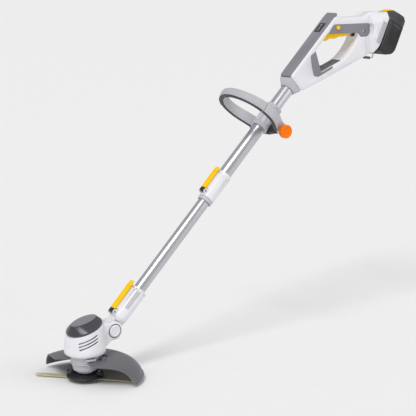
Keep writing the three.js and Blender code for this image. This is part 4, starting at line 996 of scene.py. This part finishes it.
def levelled(bm):
    """Turned a little flatter than the joint under the cap."""
    return moved(bm, Matrix.Translation((1.5, 0, 0)) @ turn_y(PLATE_LEAN))


def build_cap():
    length, width = PLATE_HALF
    layers = [(CAP_RADIUS, 0.4, 3.4), (CAP_RADIUS - 0.7, 4.2, 4.4)]
    rims = [levelled(oval((length - less, width - less), *span))
            for less, span in ((0, (12.6, 13.2)), (1, (13.9, 14.1)))]
    dome = hulled(*[rod(r, low, high, 96) for r, low, high in layers], *rims)
    hollow = hulled(rod(CAP_RADIUS - 4, -1, 3, 96), levelled(oval((length - 5, width - 5), 9.6, 11)))
    clear = block([30, -CHEEK_HALF - GAP, -40], [90, CHEEK_HALF + GAP, 27])
    cap = cut(sloped(cut(dome, hollow)), clear)
    show(cap, HEAD, "cap", look("motor_cap"), "motor_cap", bevel=0.4, sharp=24)
    steps = ((1.6, (14.5, 15.2)), (3.2, (16.1, 16.3)), (9, (16.5, 16.6)))
    plate = hulled(*[oval((length - less, width - less), *span) for less, span in steps])
    # The plate is given a lighter grey than the dark cap. This is partly the plate's own colour and partly
    # a painted highlight on the cap's top.
    show(sloped(levelled(plate)), HEAD, "cap_top", LOOK["plate_grey"], "cap_plate", sharp=40)
    rim = cut(oval((length - 0.3, width - 0.3), 13.6, 14.5), oval((length - 1.9, width - 1.9), 10, 18))
    show(sloped(levelled(rim)), HEAD, "cap_line", LOOK["black_plastic"], body="head")


def build_pivot():
    arm_x = -SPINDLE_X
    seat = -CHEEK_HALF + 4.6
    button = turned(softened([(0, 0), (12.9, 0), (12.9, 5.4), (9.6, 7), (8.6, 6.2), (0, 6.2)], 1))
    show(shifted(laid(button), arm_x, seat, 0), HEAD, "tilt_key", look("tilt_button"), "tilt_button")
    # A black ring fills the gap round the tilt button as painted shadow: it stands for the shade in the
    # button's recess.
    ring = shifted(laid(pipe(12.95, 14.2, 0, 5.2, edge=0.3)), arm_x, seat, 0)
    show(ring, HEAD, "tilt_shadow_ring", LOOK["black_plastic"], body="head")


def build_spindle_parts():
    bell = turned(softened([
        (0, HOUSING_BOTTOM - 19), (26, HOUSING_BOTTOM - 19), (26, -61), (24, -71.5), (17, -72.2), (17, -77),
        (0, -77)], 1.2))
    show(cut(bell, rod(4.6, -90, -50)), HEAD, "bell", look("spindle_cover"), "spindle_cover")
    collar = pipe(23.3, COLLAR_RADIUS - 0.2, HOUSING_BOTTOM - 18, HOUSING_BOTTOM - 1.4, edge=0.8)
    reach = COLLAR_RADIUS + 9
    lug = block([-reach, -10, -46.6], [-COLLAR_RADIUS + 3, 10, HOUSING_BOTTOM - 2], 1.2)
    lug = cut(lug, rod(25, -90, 0))
    band = pipe(COLLAR_RADIUS - 0.9, FAR, -54.8, -53.6)
    turn = Matrix.Rotation(math.radians(LUG_BEARING), 4, "Z")
    show(cut(join(collar, lug), band), HEAD @ turn, "guard_band", look("guard_collar"), "guard_collar")
    screw = together(*[shifted(rod(2.2, -43.4, -41.3, 24, 0.5), 4 - reach, y, 0) for y in (-5.5, 5.5)])
    show(screw, HEAD @ turn, "band_screw", LOOK["steel"], body="head")


def at_guard_screws(make):
    """One copy of a small solid at each of the guard's screws."""
    ring = GUARD_SCREW_RING
    angles = [math.radians(bearing) for bearing in GUARD_SCREW_BEARINGS]
    return [shifted(make(), ring * math.cos(a), ring * math.sin(a), 0) for a in angles]


def screw_head():
    return cut(rod(3.6, -45, -43.4, 24, 0.4), block([-2.4, -0.5, -44.2], [2.4, 0.5, -43]))


def build_guard():
    rim, neck = GUARD_RADIUS, COLLAR_RADIUS + GAP
    profile = [
        (neck, -47), (62, -48.5), (86, -53), (102, -61.5), (111.5, -73), (rim, -86), (rim - 3, -86.5),
        (108.6, -74.4), (100, -63.8), (85, -56), (62, -51.7), (neck, -51)]
    dish = turned(softened(profile, 9, 4), 128)
    reach = rim + 2
    plan = [
        (16, -reach, 9), (reach, -reach), (reach, reach), (16, reach, 9), (-38, 47, 9), (-16, 17),
        (-16, -17), (-38, -47, 9)]
    keeper = moved(prism(plan, -20, 140), Matrix.Rotation(-math.pi / 2, 4, "X"))
    lip = [(rim - 4, -83), (rim, -83), (rim, -86.4), (rim - 4, -86.4)]
    bead = turned(softened(lip, 1), 128)
    bosses = at_guard_screws(lambda: rod(5.5, -50, -44.6, 32, 0.8))
    solid = keep(join(dish, bead, *bosses), keeper)
    turn = Matrix.Rotation(math.radians(GUARD_TURN), 4, "Z")
    show(solid, HEAD @ turn, "guard_shell", look("guard"), "guard", bevel=0.5)
    heads = together(*at_guard_screws(screw_head))
    show(heads, HEAD @ turn, "guard_screws", LOOK["steel"], body="head")


def build_cutter():
    disc = turned(softened([
        (0, DISC_TOP), (22, DISC_TOP), (34, DISC_TOP - 1.5), (DISC_RADIUS, DISC_TOP - 4.5),
        (DISC_RADIUS - 1, DISC_TOP - 5.5), (31, DISC_BOTTOM), (9, DISC_BOTTOM), (9, DISC_BOTTOM + 0.5),
        (0, DISC_BOTTOM + 0.5)], 1.2))
    bosses, bores, pads = [], [], []
    for turn in (LUG_TURN, LUG_TURN + 180):
        x = LUG_RADIUS * math.cos(math.radians(turn))
        y = LUG_RADIUS * math.sin(math.radians(turn))
        bosses.append(shifted(rod(8.5, DISC_BOTTOM, DISC_TOP + 4.5, 40, 1.2), x, y, 0))
        bores.append(shifted(rod(BLADE_BORE, -110, -60), x, y, 0))
        side = math.radians(turn + 90)
        pads.append(shifted(rod(4, DISC_TOP - 3, DISC_TOP + 0.8, 32, 0.4),
                            28 * math.cos(side), 28 * math.sin(side), 0))
    solid = cut(join(disc, *bosses, *pads), *bores, rod(4.3, -86.3, -60), rod(2.8, -110, -80))
    show(solid, HEAD, "disc", look("cutter_disc"), "cutter_disc", bevel=0.25)
    tip = BLADE_REACH
    plan = [
        (-7, -7, 6), (20, -6.5, 4), (tip - 12, -8.5, 6), (tip, -3, 3), (tip - 3, 5, 3), (20, 5.5, 4),
        (-7, 7, 6)]
    flat = Matrix.Rotation(-math.pi / 2, 4, "X")
    for index in (0, 1):
        turn = Matrix.Rotation(math.radians(LUG_TURN + 180 * index), 4, "Z")
        blade = shifted(moved(prism(plan, -1, 1, 0.4, 2), flat), 0, 0, -89.6)
        blade = shifted(cut(blade, rod(BLADE_BORE, -100, -80)), LUG_RADIUS, 0, 0)
        node = f"cutting_blade_{index + 1}"
        show(blade, HEAD @ turn, f"blade_{index + 1}_plastic", look(node), node)


# ------------------------------------------------------------ stage
CAMERA_TARGET = Vector((-0.3788, 0, -0.3690))
CAMERA_AZIMUTH, CAMERA_ELEVATION = -38, 11
CAMERA_DISTANCE = 2.7
CAMERA_LENS = 111.27


def build_stage():
    a, e = math.radians(CAMERA_AZIMUTH), math.radians(CAMERA_ELEVATION)
    back = Vector((math.sin(a) * math.cos(e), -math.cos(a) * math.cos(e), math.sin(e)))
    data = bpy.data.cameras.new("camera")
    data.lens = CAMERA_LENS
    data.clip_end = 100
    camera = bpy.data.objects.new("camera", data)
    camera.location = CAMERA_TARGET + back * CAMERA_DISTANCE
    camera.rotation_euler = back.to_track_quat("Z", "Y").to_euler()
    bpy.context.scene.collection.objects.link(camera)
    bpy.context.scene.camera = camera
    low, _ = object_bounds()
    size = 60
    floor = as_object(stitched(
        [(-size, -size, 0), (size, -size, 0), (size, size, 0), (-size, size, 0)], [(0, 1, 2, 3)]), "floor")
    floor.location.z = low[2] - 0.0006
    floor.data.materials.append(Finish("floor", "F4F4F4", 0.9, vary=0.005, bump=0.0, wear=0).material)
    build_lights()


def sun(name, direction, strength, spread):
    data = bpy.data.lights.new(name, "SUN")
    data.energy = strength
    data.angle = math.radians(spread)
    light = bpy.data.objects.new(name, data)
    light.rotation_euler = Vector(direction).to_track_quat("Z", "Y").to_euler()
    bpy.context.scene.collection.objects.link(light)


def build_lights():
    """A soft key from the left, two weak fills and an even white surround."""
    sun("key", (-1.0, -0.55, 1.5), 1.5, 24)
    sun("fill", (0.9, -1.2, 0.6), 0.45, 40)
    sun("low_fill", (-0.9, -0.7, 0.1), 0.2, 40)
    world = bpy.data.worlds.new("studio")
    world.use_nodes = True
    world.node_tree.nodes["Background"].inputs["Color"].default_value = (1, 1, 1, 1)
    world.node_tree.nodes["Background"].inputs["Strength"].default_value = 0.52
    bpy.context.scene.world = world
    bpy.context.scene.view_settings.view_transform = "Standard"


BUILDERS = [
    build_shells, build_pads, build_strip, build_trims, build_trigger, build_battery, build_tubes,
    build_middle, build_socket, build_loop, build_clamp, build_housing, build_cap, build_pivot,
    build_spindle_parts, build_guard, build_cutter,
]
for build in BUILDERS:
    build()
for leftover in frame["nodes"].values():
    for polygon in leftover.data.polygons:
        polygon.use_smooth = True
    leftover.data.set_sharp_from_angle(angle=math.radians(32))
build_stage()
